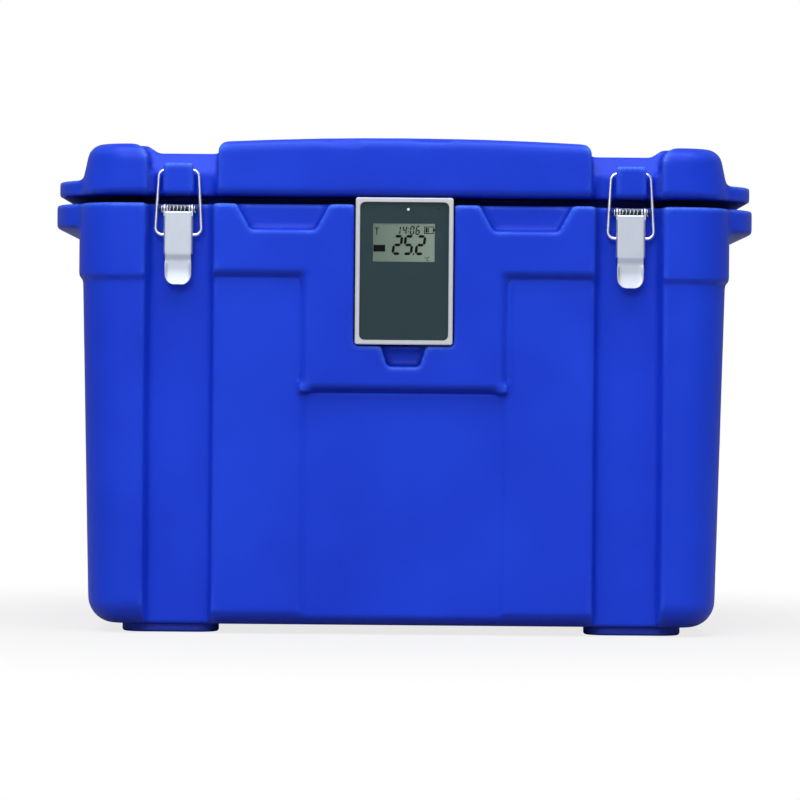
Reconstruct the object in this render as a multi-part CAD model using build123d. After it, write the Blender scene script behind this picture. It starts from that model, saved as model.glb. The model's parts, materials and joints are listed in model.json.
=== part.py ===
from build123d import *
import os
from math import sqrt

os.makedirs("parts", exist_ok=True)

# Insulated vaccine carrier, millimetres. +Z is up, the front faces -Y, and the
# origin is on the floor under the middle of the box.

# Moulded body
BAND_WIDTH = 604.5          # the upper band of the body, side to side
BAND_DEPTH = 424.0          # the band, front to back
BAND_HEIGHT = 68.0          # the band and the T panel's bar, down from the rim
BAND_STEP = 2.0             # the drafted body inside the band, each side, at the rim
BODY_DRAFT = 9.5            # what each side draws in from the rim to the underside
PILLAR_SETBACK = 3.0        # the lower corner pillars behind the band
PILLAR_WIDTH = 63.25        # a corner pillar, outside its latch channel
FOOT_HEIGHT = 8.0
RIM_Z = 397.0
CORNER_R = 39.0
BODY_BOTTOM_R = 25.0
SKIN = 4.0                  # moulded wall
FOAM_GAP = 0.3              # foam to skin
SOFT_R = 2.5                # soft upright edges of the front relief
STEP_RUN = 2.0              # how far a step of the relief slants sideways

# Relief of the front
CHANNEL_WIDTH = 63.5
CHANNEL_DEPTH = 24.0
CHANNEL_DRAFT = 3.4
CHANNEL_PANEL_EDGE = 2.5    # a channel's flat panel inside its soft corners
STEM_HALF = 95.0
STEM_Z = 223.0
SIDE_PANEL_SETBACK = 6.0
LOW_PANEL_HALF = 92.0
LOW_PANEL_SETBACK = 9.0
NOTCH_MID = 112.0
NOTCH_TOP_HALF = 43.0
NOTCH_FOOT_HALF = 30.0
NOTCH_HEIGHT = 24.0
NOTCH_DEPTH = 9.0

# End grips
GRIP_REACH = 24.0           # beyond the band, each side
GRIP_THICK = 22.0
GRIP_SLOPE = 9.0
GRIP_SETBACK = 2.0          # behind the latch channels' floor
GRIP_CORNER_R = 50.0

# Storage space
SIDE_WALL = 64.25           # the band's face to the storage space
BAY_WALL = 26.8             # the logger bay to the storage space
CAVITY_FLOOR_Z = 66.0
CAVITY_CORNER_R = 32.0
CAVITY_FLOOR_R = 14.0

# Lid
RIM_GAP = 7.0
LID_DECK = 40.5
LID_BLOCK = 50.0
LID_CROWN = 4.6
LID_CAP = 48.0
LID_BLOCK_SETBACK = 3.5     # the raised middle inside the T panel's side
LID_CAP_REACH = 2.0         # a cap over the latch channel's edge
LID_CAP_SLANT = 8.0         # how far a cap's inner side leans into the channel
LID_CAP_DRAFT = 10.0
LID_CAP_R = 15.0
LID_BLOCK_R = 9.0
LID_FLANGE_REACH = 21.5
LID_FLANGE_THICK = 14.6
PLUG_DEPTH = 18.0
PLUG_ROOT = 12.0            # how far the plug's core reaches up inside the lid
PLUG_GAP = 4.0
GASKET_WIDTH = 12.0
GASKET_INSET = 6.0
GASKET_LIFT = 0.4

# Rear hinges
HINGE_SHIFT = -1.25         # from the middle of the rear channel
HINGE_WIDTH = 48.0
HINGE_RECESS = 7.0
HINGE_AXIS_INSET = 3.0
HINGE_KNUCKLE_R = 6.0
HINGE_LEAF_START = 2.4      # a leaf's edge from the pin's middle
HINGE_ROOM = 1.5
HINGE_PIN_R = 2.5
HINGE_PIN_END = 0.5         # the pin past the knuckles
HINGE_LEAF = 2.5
HINGE_LEAF_HEIGHT = 34.0
HINGE_SCREW_EDGE = 10.0     # the screws' line up from a leaf's edge
HINGE_SCREW_SIDE = 8.0
HINGE_SWING_R = 10.0
RUNNING_GAP = 0.05
END_GAP = 0.4

# Front latches, outwards from the channel floor and down from the rim
LATCH_SHIFT = 1.75          # from the middle of the channel
PIVOT_DROP = 5.0
PIVOT_OUT = 9.0
ROD_DROP = 24.0             # the wire's rod below the pivot
ROD_OUT = 8.5
HOOK_WIRE_OUT = 5.2
WIRE_R = 1.5
WIRE_GAP = 0.3
BAIL_FOOT_HALF = 22.0
BAIL_TOP_HALF = 18.2
BAIL_BEND_R = 6.0
LEVER_WIDTH = 27.0
LEVER_TIP_WIDTH = 24.0
LEVER_SHEET = 1.6
LEVER_FACE_OUT = 13.3
LEVER_TOP_DROP = 3.0        # each of these four is below the pivot
LEVER_SHOULDER_DROP = 42.0
LEVER_BEND_DROP = 55.0
LEVER_TIP_DROP = 70.0
LEVER_JOGGLE = 2.4
LEVER_JOGGLE_RUN = 6.0
LEVER_FOLD = 0.6            # how far a fold's inside line lies below its outside line
LEVER_LAP = 2.0             # the tab inside the cover
LEVER_TIP_R = 10.0
CHEEK_BEHIND_ROD = 2.0
LEVER_FLARE = 3.7
LATCH_PIN_R = 2.0
LATCH_PIN_HALF = 17.0
LATCH_PIN_HEAD = 0.6
LATCH_PIN_HEAD_R = 2.7
LATCH_PLATE_WIDTH = 22.0
LATCH_PLATE_DROP = 54.0
LATCH_SHEET = 1.5
EAR_DROP = 5.0
EAR_R = 3.0
SPRING_WIRE = 0.8
SPRING_GAP = 0.3            # a coil to the pin and to the ears
HOOK_HALF = 14.2
HOOK_SEAT = 22.0            # the groove above the lid's lower edge
HOOK_OUT = 15.5
HOOK_FINGER = 5.0
HOOK_FINGER_HEIGHT = 9.0
LEDGE_SLOPE = 14.0

# Temperature logger
LOGGER_WIDTH = 90.0
LOGGER_HEIGHT = 135.0
LOGGER_DEPTH = 30.0
LOGGER_PROUD = 3.0          # the logger's face in front of the band
LOGGER_DROP = 1.0           # the logger's top below the lid's lower edge
LOGGER_GAP = 1.2
LOGGER_CORNER_R = 2.2
LOGGER_CHAMFER = 0.8
LOGGER_BACK_GAP = 3.2
LOGGER_WALL = 2.5
GLASS_RIM = 4.0             # the case's face around the glass
GLASS_THICK = 1.6
GLASS_SINK = 0.5
GLASS_R = 5.0
GLASS_GAP = 0.2
GLASS_SEAT = 4.0            # the case's ledge behind the glass's edge
LCD_WIDTH = 58.0
LCD_HEIGHT = 36.4
LCD_THICK = 3.0
LCD_DROP = 23.0             # from the case's top
LCD_SHIFT = -0.5
LAMP_DROP = 10.6
LAMP_SHIFT = 3.4
LAMP_R = 1.2
LCD_R = 0.5
BOARD_GAP = 1.6             # behind the display
BOARD_THICK = 1.6
BOARD_SIDE = 7.0            # inside the case's walls
BOARD_END = 13.0
CELL_R = 6.6
CELL_LENGTH = 50.0
CELL_GAP = 0.6
CASE_R = 2.0                # inside corners of the case
BOSS_INSET = 5.0            # a cover screw's boss from the case's inside
BOSS_R = 4.0
BOSS_BLOCK = 5.5
BOSS_BORE = 12.0
COVER_SCREW_R = 1.3
COVER_HOLE_R = 1.5
COVER_SCREW_HEAD_R = 2.6
COVER_SCREW_HEAD = 1.0
COVER_SCREW_LENGTH = 8.0
COVER_RECESS_R = 2.8
COVER_RECESS = 1.2
COVER_GAP = 0.2
SCOOP_HALF = 21.0
SCOOP_FOOT_HALF = 15.0
SCOOP_HEIGHT = 19.0
SCOOP_DEPTH = 14.0
BAY_FRAME = 14.0            # the moulded frame round the logger's bay
BAY_FRAME_FOOT = 8.0        # the frame below the finger scoop
FRONT_PIECE_DEPTH = 4.6     # the front pieces behind the latch channels' floor

# Probe, vent and drain
PROBE_DROP = 67.0           # below the rim
PROBE_R = 3.0
PROBE_LENGTH = 22.0
SLEEVE_R = 7.0
SLEEVE_WALL = 2.5
FLANGE_REACH = 4.0
FLANGE_THICK = 2.0
PLUG_LENGTH = 11.0
GROMMET_LENGTH = 8.0
GROMMET_INSET = 9.0         # the grommet's outer end from the storage space
GROMMET_GAP = 0.02
PROBE_STUB = 1.5            # the sensor past the grommet's outer end
VENT_Z = 225.0
VENT_Y = -40.0
DRAIN_Z = 80.0
DRAIN_R = 9.0
DRAIN_WALL = 2.4
CAP_R = 12.5
CAP_THICK = 5.0
CAP_SINK = 2.0
CAP_CHAMFER = 1.0
VENT_STEM = 6.5
DRAIN_PLUG_LENGTH = 18.0
SEAT_GAP = 0.1

# Feet
PAD_SIDE = 75.75            # from the body's underside edge to a pad's middle
PAD_SETBACK = 52.0
PAD_LENGTH = 90.0
PAD_WIDTH = 42.0
PAD_SCREW_HALF = 25.0
PAD_SINK = 3.0
PAD_CHAMFER = 1.5
PAD_SCREW_PASS = 1.5        # the screw past the moulded skin

# Fasteners
SCREW_R = 2.0
SCREW_HEAD_R = 4.0
SCREW_HEAD = 2.2
SCREW_LENGTH = 9.5
RIVET_R = 2.0
RIVET_HEAD_R = 3.2
RIVET_HEAD = 1.4
RIVET_LENGTH = 7.0
RIVET_HALF = 5.5
RIVET_DROPS = (13.0, 47.0)
HOLE_GAP = 0.05
FOAM_HOLE_GAP = 0.6
FOAM_SCREW_END = 1.0
EPS = 1.0                   # a small overrun of a cutting tool
LAP = 1.0                   # how far two parts of one moulding run into each other

# Worked out from the above
BODY_TOP_HALF = BAND_WIDTH / 2 - BAND_STEP
BODY_FOOT_HALF = BODY_TOP_HALF - BODY_DRAFT
FRONT_Y = -BAND_DEPTH / 2
REAR_Y = BAND_DEPTH / 2
FLOOR_Y = FRONT_Y + CHANNEL_DEPTH
BAND_Z = RIM_Z - BAND_HEIGHT
CHANNEL_SIDE = BAND_WIDTH / 2 - PILLAR_WIDTH
PANEL_SIDE = CHANNEL_SIDE - CHANNEL_WIDTH
CHANNEL_X = (PANEL_SIDE + CHANNEL_SIDE) / 2
LATCH_X = CHANNEL_X + LATCH_SHIFT
HINGE_X = CHANNEL_X + HINGE_SHIFT
LID_BLOCK_HALF = PANEL_SIDE - LID_BLOCK_SETBACK
LID_CAP_SIDE = CHANNEL_SIDE - LID_CAP_REACH
LID_Z = RIM_Z + RIM_GAP
DECK_Z = LID_Z + LID_DECK
HINGE_Y = REAR_Y - HINGE_AXIS_INSET
HINGE_Z = RIM_Z + RIM_GAP / 2
HINGE_FACE_Y = REAR_Y - HINGE_RECESS
PIVOT_Z = RIM_Z - PIVOT_DROP
ROD_Z = PIVOT_Z - ROD_DROP
LEVER_TOP_Z = PIVOT_Z - LEVER_TOP_DROP
LEVER_SHOULDER_Z = PIVOT_Z - LEVER_SHOULDER_DROP
LEVER_BEND_Z = PIVOT_Z - LEVER_BEND_DROP
LEVER_TIP_Z = PIVOT_Z - LEVER_TIP_DROP
HOOK_SEAT_Z = LID_Z + HOOK_SEAT
HOOK_TOP_Z = HOOK_SEAT_Z + HOOK_FINGER_HEIGHT
HOOK_WIRE_Z = HOOK_SEAT_Z + WIRE_R + WIRE_GAP
LOGGER_TOP_Z = LID_Z - LOGGER_DROP
LOGGER_FRONT_Y = FRONT_Y - LOGGER_PROUD
LOGGER_BACK_Y = LOGGER_FRONT_Y + LOGGER_DEPTH
LOGGER_FOOT_Z = LOGGER_TOP_Z - LOGGER_HEIGHT
GLASS_WIDTH = LOGGER_WIDTH - 2 * GLASS_RIM
GLASS_HEIGHT = LOGGER_HEIGHT - 2 * GLASS_RIM
BAY_Y = LOGGER_BACK_Y + LOGGER_BACK_GAP
CAVITY_WIDTH = BAND_WIDTH - 2 * SIDE_WALL
CAVITY_DEPTH = -2 * (BAY_Y + BAY_WALL)
CAVITY_TOP_Z = RIM_Z + RIM_GAP / 2
BAY_HALF = LOGGER_WIDTH / 2 + LOGGER_GAP
BAY_FOOT_Z = LOGGER_FOOT_Z - LOGGER_GAP
PROBE_Z = RIM_Z - PROBE_DROP
PAD_X = BODY_FOOT_HALF - PAD_SIDE
PAD_Y = REAR_Y - PAD_SETBACK
OVER = 20.0                 # how far a cutting tool runs past what it cuts


def slab(x0, x1, y0, y1, z0, z1):
    """A box between two corners."""
    centre = Pos((x0 + x1) / 2, (y0 + y1) / 2, (z0 + z1) / 2)
    return centre * Box(x1 - x0, y1 - y0, z1 - z0)


def outline(points):
    return make_face(Polyline(*points, close=True))


def along_x(points, x0, x1):
    """A (y, z) outline drawn out from x0 to x1."""
    plane = Plane(origin=(x0, 0, 0), x_dir=(0, 1, 0), z_dir=(1, 0, 0))
    return extrude(plane * outline(points), amount=x1 - x0)


def along_y(points, y0, y1):
    """An (x, z) outline drawn out from y0 to y1."""
    plane = Plane(origin=(0, y1, 0), x_dir=(1, 0, 0), z_dir=(0, -1, 0))
    return extrude(plane * outline(points), amount=y1 - y0)


def rod(start, axis, length, radius):
    """A round bar from a point, along an axis."""
    plane = Plane(origin=start, z_dir=axis)
    return extrude(plane * Circle(radius), amount=length)


def both_sides(part):
    return part + mirror(part, about=Plane.YZ)


def save(node, part):
    """One STEP per node; a group of like pieces stays a group of solids."""
    solids = part.solids()
    shape = solids[0] if len(solids) == 1 else Compound(children=list(solids))
    export_step(shape, f"parts/{node}.step")


def plan(front, channel_in, channel_out, half, corner):
    """Half outlines of a level: front is a list of (x, y) up to the channel."""
    rear_in = channel_in + STEP_RUN
    rear_out = channel_out - STEP_RUN
    floor = FLOOR_Y
    right = list(front)
    right += [(channel_in + CHANNEL_DRAFT, floor), (channel_out - CHANNEL_DRAFT, floor)]
    right += [(channel_out, corner[1]), (half, corner[1]), (half, REAR_Y)]
    right += [(rear_out, REAR_Y), (rear_out - STEP_RUN, HINGE_FACE_Y)]
    right += [(rear_in + STEP_RUN, HINGE_FACE_Y), (rear_in, REAR_Y)]
    left = [(-x, y) for x, y in reversed(right)]
    return right + left


def level(front, channel_in, channel_out, half, front_y, inset, z0, z1):
    """A level of the moulding between two heights, drawn in by the inset."""
    points = plan(front, channel_in, channel_out, half, (half, front_y))
    face = outline(points)
    soft = [v for v in face.vertices() if abs(v.X) < half - 1]
    face = fillet(soft, SOFT_R)
    hard = [v for v in face.vertices() if abs(v.X) > half - 1]
    face = fillet(hard, CORNER_R)
    if inset:
        face = offset(face, amount=-inset, kind=Kind.INTERSECTION)
    return extrude(Pos(0, 0, z0) * face, amount=z1 - z0)


def body_envelope(inset):
    """The drafted body with its round bottom, without the band or the grips."""
    foot = BODY_FOOT_HALF - inset
    top = BODY_TOP_HALF - inset
    deep = REAR_Y - PILLAR_SETBACK - inset
    low = FOOT_HEIGHT + inset
    block = along_y([(-foot, low), (foot, low), (top, RIM_Z - inset), (-top, RIM_Z - inset)],
                    -deep, deep)
    posts = block.edges().filter_by(lambda e: abs(e.center().X) > foot
                                    and abs(e.center().Y) > deep - 1
                                    and e.length > RIM_Z / 2)
    block = fillet(posts, CORNER_R - PILLAR_SETBACK - inset)
    base = block.faces().sort_by(Axis.Z)[0]
    return fillet(base.edges(), BODY_BOTTOM_R - inset)


def grips(reach, inset, z0, z1, slope):
    """End grips: a rounded plate wider than the body, with a sloped underside."""
    wide = BAND_WIDTH + 2 * reach - 2 * inset
    deep = -2 * (FLOOR_Y + GRIP_SETBACK + inset)
    corner = GRIP_CORNER_R - inset
    plate = Pos(0, 0, z0 + inset) * RectangleRounded(wide, deep, corner)
    solid = extrude(plate, amount=z1 - z0 - 2 * inset)
    if slope:
        run = reach + BAND_STEP
        under = Pos(0, 0, z0 + inset - slope) * RectangleRounded(
            wide - 2 * run, deep - 2 * run, corner - run)
        solid += loft([under, plate])
    return solid


def storage_space(growth):
    """The storage space, grown outwards by the growth; it runs out of the rim."""
    floor = CAVITY_FLOOR_Z - growth
    face = RectangleRounded(CAVITY_WIDTH + 2 * growth, CAVITY_DEPTH + 2 * growth,
                            CAVITY_CORNER_R + growth)
    solid = extrude(Pos(0, 0, floor) * face, amount=CAVITY_TOP_Z - floor)
    bottom = solid.faces().sort_by(Axis.Z)[0]
    return fillet(bottom.edges(), CAVITY_FLOOR_R + growth)


def base_form(inset):
    """The moulded outside of the base, drawn in by the inset."""
    side_y = FRONT_Y + SIDE_PANEL_SETBACK
    low_y = FRONT_Y + LOW_PANEL_SETBACK
    pillar_y = FRONT_Y + PILLAR_SETBACK
    half = BAND_WIDTH / 2
    band = level([(PANEL_SIDE, FRONT_Y)], PANEL_SIDE, CHANNEL_SIDE, half, FRONT_Y,
                 inset, BAND_Z + inset, RIM_Z - inset)
    wide = half + OVER
    middle = level([(STEM_HALF, FRONT_Y), (STEM_HALF + STEP_RUN, side_y),
                    (PANEL_SIDE, side_y)],
                   PANEL_SIDE, CHANNEL_SIDE, wide, pillar_y, inset,
                   STEM_Z + inset, BAND_Z + inset)
    low = level([(LOW_PANEL_HALF, low_y), (LOW_PANEL_HALF + STEP_RUN, side_y),
                 (PANEL_SIDE, side_y)],
                PANEL_SIDE, CHANNEL_SIDE, wide, pillar_y, inset,
                FOOT_HEIGHT - OVER, STEM_Z + inset)
    envelope = body_envelope(inset)
    stem = middle & slab(-STEM_HALF, STEM_HALF, FRONT_Y, FLOOR_Y, 0, RIM_Z)
    form = ((middle + low) & envelope) + band + stem
    grip_z = RIM_Z - GRIP_THICK
    form += grips(GRIP_REACH, inset, grip_z, RIM_Z, GRIP_SLOPE)
    form -= rear_rounding(RIM_Z - inset, True, inset)
    return form - bay(inset) - notches(inset) - hinge_swing(inset)


def bay(growth):
    """The logger's bay with the finger scoop under it."""
    half = BAY_HALF + growth
    foot = BAY_FOOT_Z - growth
    space = slab(-half, half, FRONT_Y - OVER, BAY_Y + growth, foot, RIM_Z + OVER)
    top = SCOOP_HALF + growth
    low = SCOOP_FOOT_HALF + growth
    end = foot - SCOOP_HEIGHT
    scoop = along_y([(-top, foot + 1), (-low, end), (low, end), (top, foot + 1)],
                    FRONT_Y - OVER, FRONT_Y + SCOOP_DEPTH + growth)
    return space + scoop


def notches(growth):
    """Two shallow trapezoid notches in the top of the T panel."""
    foot = RIM_Z - NOTCH_HEIGHT - growth
    top = RIM_Z + 5
    spread = (NOTCH_TOP_HALF - NOTCH_FOOT_HALF) / NOTCH_HEIGHT
    low_half = NOTCH_FOOT_HALF + growth
    top_half = low_half + spread * (top - foot)
    points = [(NOTCH_MID - top_half, top), (NOTCH_MID - low_half, foot),
              (NOTCH_MID + low_half, foot), (NOTCH_MID + top_half, top)]
    return both_sides(along_y(points, FRONT_Y - OVER, FRONT_Y + NOTCH_DEPTH + growth))


def hinge_swing(growth):
    """Room for the knuckles, and the round rear edges that the lid rolls over."""
    radius = HINGE_KNUCKLE_R + HINGE_ROOM + growth
    half = HINGE_WIDTH / 2 + HINGE_ROOM + growth
    room = rod((HINGE_X - half, HINGE_Y, HINGE_Z), (1, 0, 0), 2 * half, radius)
    return both_sides(room)


def rear_rounding(z_edge, upwards, growth):
    """The waste outside a long round on the rear edge of a rim."""
    r = HINGE_SWING_R
    y_edge = REAR_Y - growth
    far = BAND_WIDTH
    z_in = z_edge - r if upwards else z_edge + r
    z0, z1 = sorted((z_in, z_edge + (5 if upwards else -5)))
    waste = slab(-far, far, y_edge - r, y_edge + 5, z0, z1)
    return waste - rod((-far, y_edge - r, z_in), (1, 0, 0), 2 * far, r)


def wall_x(z):
    """Half width of the drafted body at a height."""
    share = (z - FOOT_HEIGHT) / (RIM_Z - FOOT_HEIGHT)
    return BODY_FOOT_HALF + share * BODY_DRAFT


def lid_form():
    """The moulded outside of the lid, without its hooks."""
    deck = level([(LID_BLOCK_HALF, FRONT_Y)], LID_BLOCK_HALF, LID_CAP_SIDE,
                 BAND_WIDTH / 2, FRONT_Y, 0.0, LID_Z, DECK_Z)
    deck &= slab(-LID_CAP_SIDE, LID_CAP_SIDE, FRONT_Y, REAR_Y, LID_Z, DECK_Z)
    deck -= both_sides(ledge_cut())
    form = deck + both_sides(lid_cap()) + both_sides(cap_shoulder()) + lid_block()
    form += grips(LID_FLANGE_REACH, 0.0, LID_Z, LID_Z + LID_FLANGE_THICK, 0)
    form -= rear_rounding(LID_Z, False, 0.0)
    return form - hinge_swing(0.0)


def lid_core(inset):
    """The hollow of the lid, or its foam: plain blocks inside the moulded form."""
    foot = LID_Z + inset
    front = FLOOR_Y + inset
    lap = LID_CAP_SIDE + inset + OVER / 2
    deck = slab(-lap, lap, front, HINGE_FACE_Y - inset, foot, DECK_Z - inset)
    deck -= along_x(ledge_waste(inset), -lap - 1, lap + 1)
    side = LID_BLOCK_HALF - inset
    deep = REAR_Y - inset
    deck += slab(-side, side, -deep, deep, foot, LID_Z + LID_BLOCK - inset)
    outer = BAND_WIDTH / 2 - LID_CAP_DRAFT - inset
    cap = slab(LID_CAP_SIDE + inset, outer, -deep, deep, foot, LID_Z + LID_CAP - inset - SKIN)
    posts = cap.edges().filter_by(Axis.Z).filter_by(lambda e: e.center().X > outer - 1)
    deck += both_sides(fillet(posts, CORNER_R - inset))
    return deck + lid_plug(inset) - hinge_swing(inset)


def ledge_waste(growth):
    """The (y, z) outline of the waste over the sloped ledge."""
    rise = DECK_Z - HOOK_SEAT_Z
    size = sqrt(rise ** 2 + LEDGE_SLOPE ** 2)
    along = (LEDGE_SLOPE / size, rise / size)
    y0 = FLOOR_Y + along[1] * growth
    z0 = HOOK_SEAT_Z - along[0] * growth
    low = (y0 - OVER * along[0], z0 - OVER * along[1])
    high = (y0 + (size + OVER) * along[0], z0 + (size + OVER) * along[1])
    reach = CHANNEL_DEPTH + 3 * OVER
    return [low, high, (high[0] - reach, high[1]), (low[0] - reach, low[1])]


def ledge_cut():
    """The waste over the sloped ledge at the front of a strap channel."""
    return along_x(ledge_waste(0.0), LID_BLOCK_HALF, LID_CAP_SIDE)


def lid_cap():
    """One domed end of the lid."""
    inner = LID_CAP_SIDE
    foot = BAND_WIDTH / 2
    top = foot - LID_CAP_DRAFT
    high = LID_Z + LID_CAP
    block = along_y([(inner, LID_Z), (foot, LID_Z), (top, high), (inner, high)],
                    FRONT_Y, REAR_Y)
    posts = block.edges().filter_by(lambda e: e.center().X > inner + 1
                                    and abs(e.center().Y) > REAR_Y - 1
                                    and abs(e.center().Z - LID_Z - LID_CAP / 2) < LID_CAP / 4)
    block = fillet(posts, CORNER_R)
    crown = block.faces().sort_by(Axis.Z)[-1]
    return fillet(crown.edges(), LID_CAP_R)


def cap_shoulder():
    """The leaning inner side of a cap, from the channel up to the cap's top."""
    inner = LID_CAP_SIDE
    low = inner - LID_CAP_SLANT
    lap = inner + LID_CAP_R + LAP
    high = LID_Z + LID_CAP
    rise = along_y([(low, LID_Z + LAP), (lap, LID_Z + LAP), (lap, high - LAP / 2),
                    (inner + 2 * LAP, high - LAP / 2), (low, DECK_Z)],
                   FLOOR_Y + LEDGE_SLOPE, REAR_Y - HINGE_SWING_R)
    corner = outline([(low, FLOOR_Y + LAP), (inner + LAP, FRONT_Y + SOFT_R),
                      (inner + LAP, FLOOR_Y + LAP)])
    return rise + extrude(Pos(0, 0, LID_Z + LAP) * corner, amount=HOOK_SEAT)


def lid_block():
    """The raised middle of the lid with its slight crown."""
    half = LID_BLOCK_HALF
    high = LID_Z + LID_BLOCK
    plane = Plane(origin=(0, REAR_Y, 0), x_dir=(1, 0, 0), z_dir=(0, -1, 0))
    sides = Polyline((half, high), (half, LID_Z), (-half, LID_Z), (-half, high))
    crown = ThreePointArc((-half, high), (0, high + LID_CROWN), (half, high))
    block = extrude(plane * make_face(sides + crown), amount=BAND_DEPTH)
    top = block.faces().sort_by(Axis.Z)[-1]
    return fillet(top.edges(), LID_BLOCK_R)


def lid_plug(inset):
    """The part of the lid that stands in the storage space."""
    wide = CAVITY_WIDTH - 2 * PLUG_GAP - 2 * inset
    deep = CAVITY_DEPTH - 2 * PLUG_GAP - 2 * inset
    face = RectangleRounded(wide, deep, CAVITY_CORNER_R - PLUG_GAP - inset)
    foot = LID_Z - PLUG_DEPTH + inset
    return extrude(Pos(0, 0, foot) * face, amount=LID_Z + PLUG_ROOT - foot)


def hook(x):
    """A moulded hook block with a finger in front of its wire groove."""
    front = FLOOR_Y - HOOK_OUT
    groove = front + HOOK_FINGER
    face = outline([(FLOOR_Y + 3, LID_Z), (front, LID_Z), (front, HOOK_TOP_Z),
                    (groove, HOOK_TOP_Z), (groove, HOOK_SEAT_Z), (FLOOR_Y + 3, HOOK_SEAT_Z)])
    lip = [v for v in face.vertices() if v.Y > HOOK_TOP_Z - 1]
    face = fillet(lip, HOOK_FINGER / 2 - 0.3)
    under = [v for v in face.vertices() if v.X < front + 1 and v.Y < LID_Z + 1]
    face = fillet(under, HOOK_FINGER)
    plane = Plane(origin=(x - HOOK_HALF, 0, 0), x_dir=(0, 1, 0), z_dir=(1, 0, 0))
    return extrude(plane * face, amount=2 * HOOK_HALF)


def fastener(point, out, head_r, head, shank_r, length):
    """A screw or rivet seated on a face at a point, its head on the out side."""
    inwards = tuple(-c for c in out)
    return rod(point, out, head, head_r) + rod(point, inwards, length, shank_r)


def shanks(spots, inwards, radius, length):
    """Holes for a set of fasteners, from their seats inwards."""
    return [rod(p, inwards, length, radius) for p in spots]


def group(pieces):
    return Compound(children=[s for p in pieces for s in p.solids()])


# Places of the fasteners and of what goes through the walls
screw_side = HINGE_WIDTH / 2 - HINGE_SCREW_SIDE
hinge_spots = [screw_side, 0.0, -screw_side]
leaf_mid = HINGE_LEAF_HEIGHT - HINGE_SCREW_EDGE
hinge_seat_y = HINGE_FACE_Y + HINGE_LEAF
lower_spots = [(s * HINGE_X + x, hinge_seat_y, HINGE_Z - leaf_mid)
               for s in (-1, 1) for x in hinge_spots]
upper_spots = [(s * HINGE_X + x, hinge_seat_y, HINGE_Z + leaf_mid)
               for s in (-1, 1) for x in hinge_spots]
rivet_seat_y = FLOOR_Y - LATCH_SHEET
rivet_heights = [PIVOT_Z - drop for drop in RIVET_DROPS]
rivet_spots = [(s * LATCH_X + x, rivet_seat_y, z)
               for s in (-1, 1) for x in (-RIVET_HALF, RIVET_HALF) for z in rivet_heights]
foot_spots = [(s * PAD_X + x, t * PAD_Y, PAD_SINK)
              for s in (-1, 1) for t in (-1, 1) for x in (-PAD_SCREW_HALF, PAD_SCREW_HALF)]
vent_seat_x = -(wall_x(VENT_Z) - CAP_SINK)
drain_seat_x = -(wall_x(DRAIN_Z) - CAP_SINK)
vent_at = (vent_seat_x, VENT_Y, VENT_Z)
drain_at = (drain_seat_x, 0.0, DRAIN_Z)
probe_at = (0.0, BAY_Y, PROBE_Z)
probe_wall = -CAVITY_DEPTH / 2 - BAY_Y
drain_run = -CAVITY_WIDTH / 2 - drain_seat_x
foot_screw_length = FOOT_HEIGHT - PAD_SINK + SKIN + PAD_SCREW_PASS


def base_holes(extra):
    """Everything that is drilled into the base from outside."""
    cuts = shanks(lower_spots, (0, -1, 0), SCREW_R + extra, SCREW_LENGTH + END_GAP + extra)
    cuts += shanks(rivet_spots, (0, 1, 0), RIVET_R + extra, RIVET_LENGTH + END_GAP + extra)
    cuts += shanks(foot_spots, (0, 0, 1), SCREW_R + extra, foot_screw_length + END_GAP + extra)
    cuts.append(rod(probe_at, (0, 1, 0), probe_wall + 1, SLEEVE_R + extra))
    cuts.append(rod(drain_at, (1, 0, 0), drain_run + 1, DRAIN_R + extra))
    cuts.append(rod(vent_at, (1, 0, 0), VENT_STEM + END_GAP + extra, SLEEVE_R + extra))
    for seat in (vent_at, drain_at):
        cuts.append(rod(seat, (-1, 0, 0), OVER, CAP_R + END_GAP))
    return cuts


# ---- base shell, its front pieces, its liner and the foam
shell = base_form(0.0) - (base_form(SKIN) - storage_space(SKIN)) - storage_space(0.0)
base_foam = base_form(SKIN + FOAM_GAP) - storage_space(SKIN + FOAM_GAP)
for cut in base_holes(HOLE_GAP):
    shell -= cut
for cut in base_holes(FOAM_HOLE_GAP):
    base_foam -= cut
save("base_foam", base_foam)

frame_half = BAY_HALF + BAY_FRAME
frame_foot = BAY_FOOT_Z - SCOOP_HEIGHT - BAY_FRAME_FOOT
frame_space = slab(-frame_half, frame_half, FRONT_Y - OVER, BAY_Y + SKIN,
                   frame_foot, RIM_Z + OVER)
save("bay_frame", shell & frame_space)


def front_piece(x0, x1):
    """What lies in front of the latch channels' backs, between two places across."""
    space = slab(x0, x1, FRONT_Y - OVER, FLOOR_Y + FRONT_PIECE_DEPTH, 0, RIM_Z + OVER)
    return (shell & space) - frame_space


panel_in = PANEL_SIDE + CHANNEL_DRAFT + CHANNEL_PANEL_EDGE
panel_out = CHANNEL_SIDE - CHANNEL_DRAFT - CHANNEL_PANEL_EDGE
save("front_panel", front_piece(-panel_in, panel_in))
save("channel_panel_left", front_piece(-panel_out, -panel_in))
save("channel_panel_right", front_piece(panel_in, panel_out))
save("corner_pillar_left", front_piece(-BAND_WIDTH, -panel_out))
save("corner_pillar_right", front_piece(panel_out, BAND_WIDTH))

wide = BAND_WIDTH
liner = shell & storage_space(SKIN + FOAM_GAP / 2)
liner &= slab(-wide, wide, -wide, wide, 0, RIM_Z - SKIN)
liner_floor = liner & slab(-wide, wide, -wide, wide, 0, CAVITY_FLOOR_Z + CAVITY_FLOOR_R)
save("liner_floor", liner_floor)
save("base_liner", liner - liner_floor)
front_space = slab(-wide, wide, FRONT_Y - OVER, FLOOR_Y + FRONT_PIECE_DEPTH, 0,
                   RIM_Z + OVER)
save("base_shell", shell - liner - frame_space - front_space)

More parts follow.
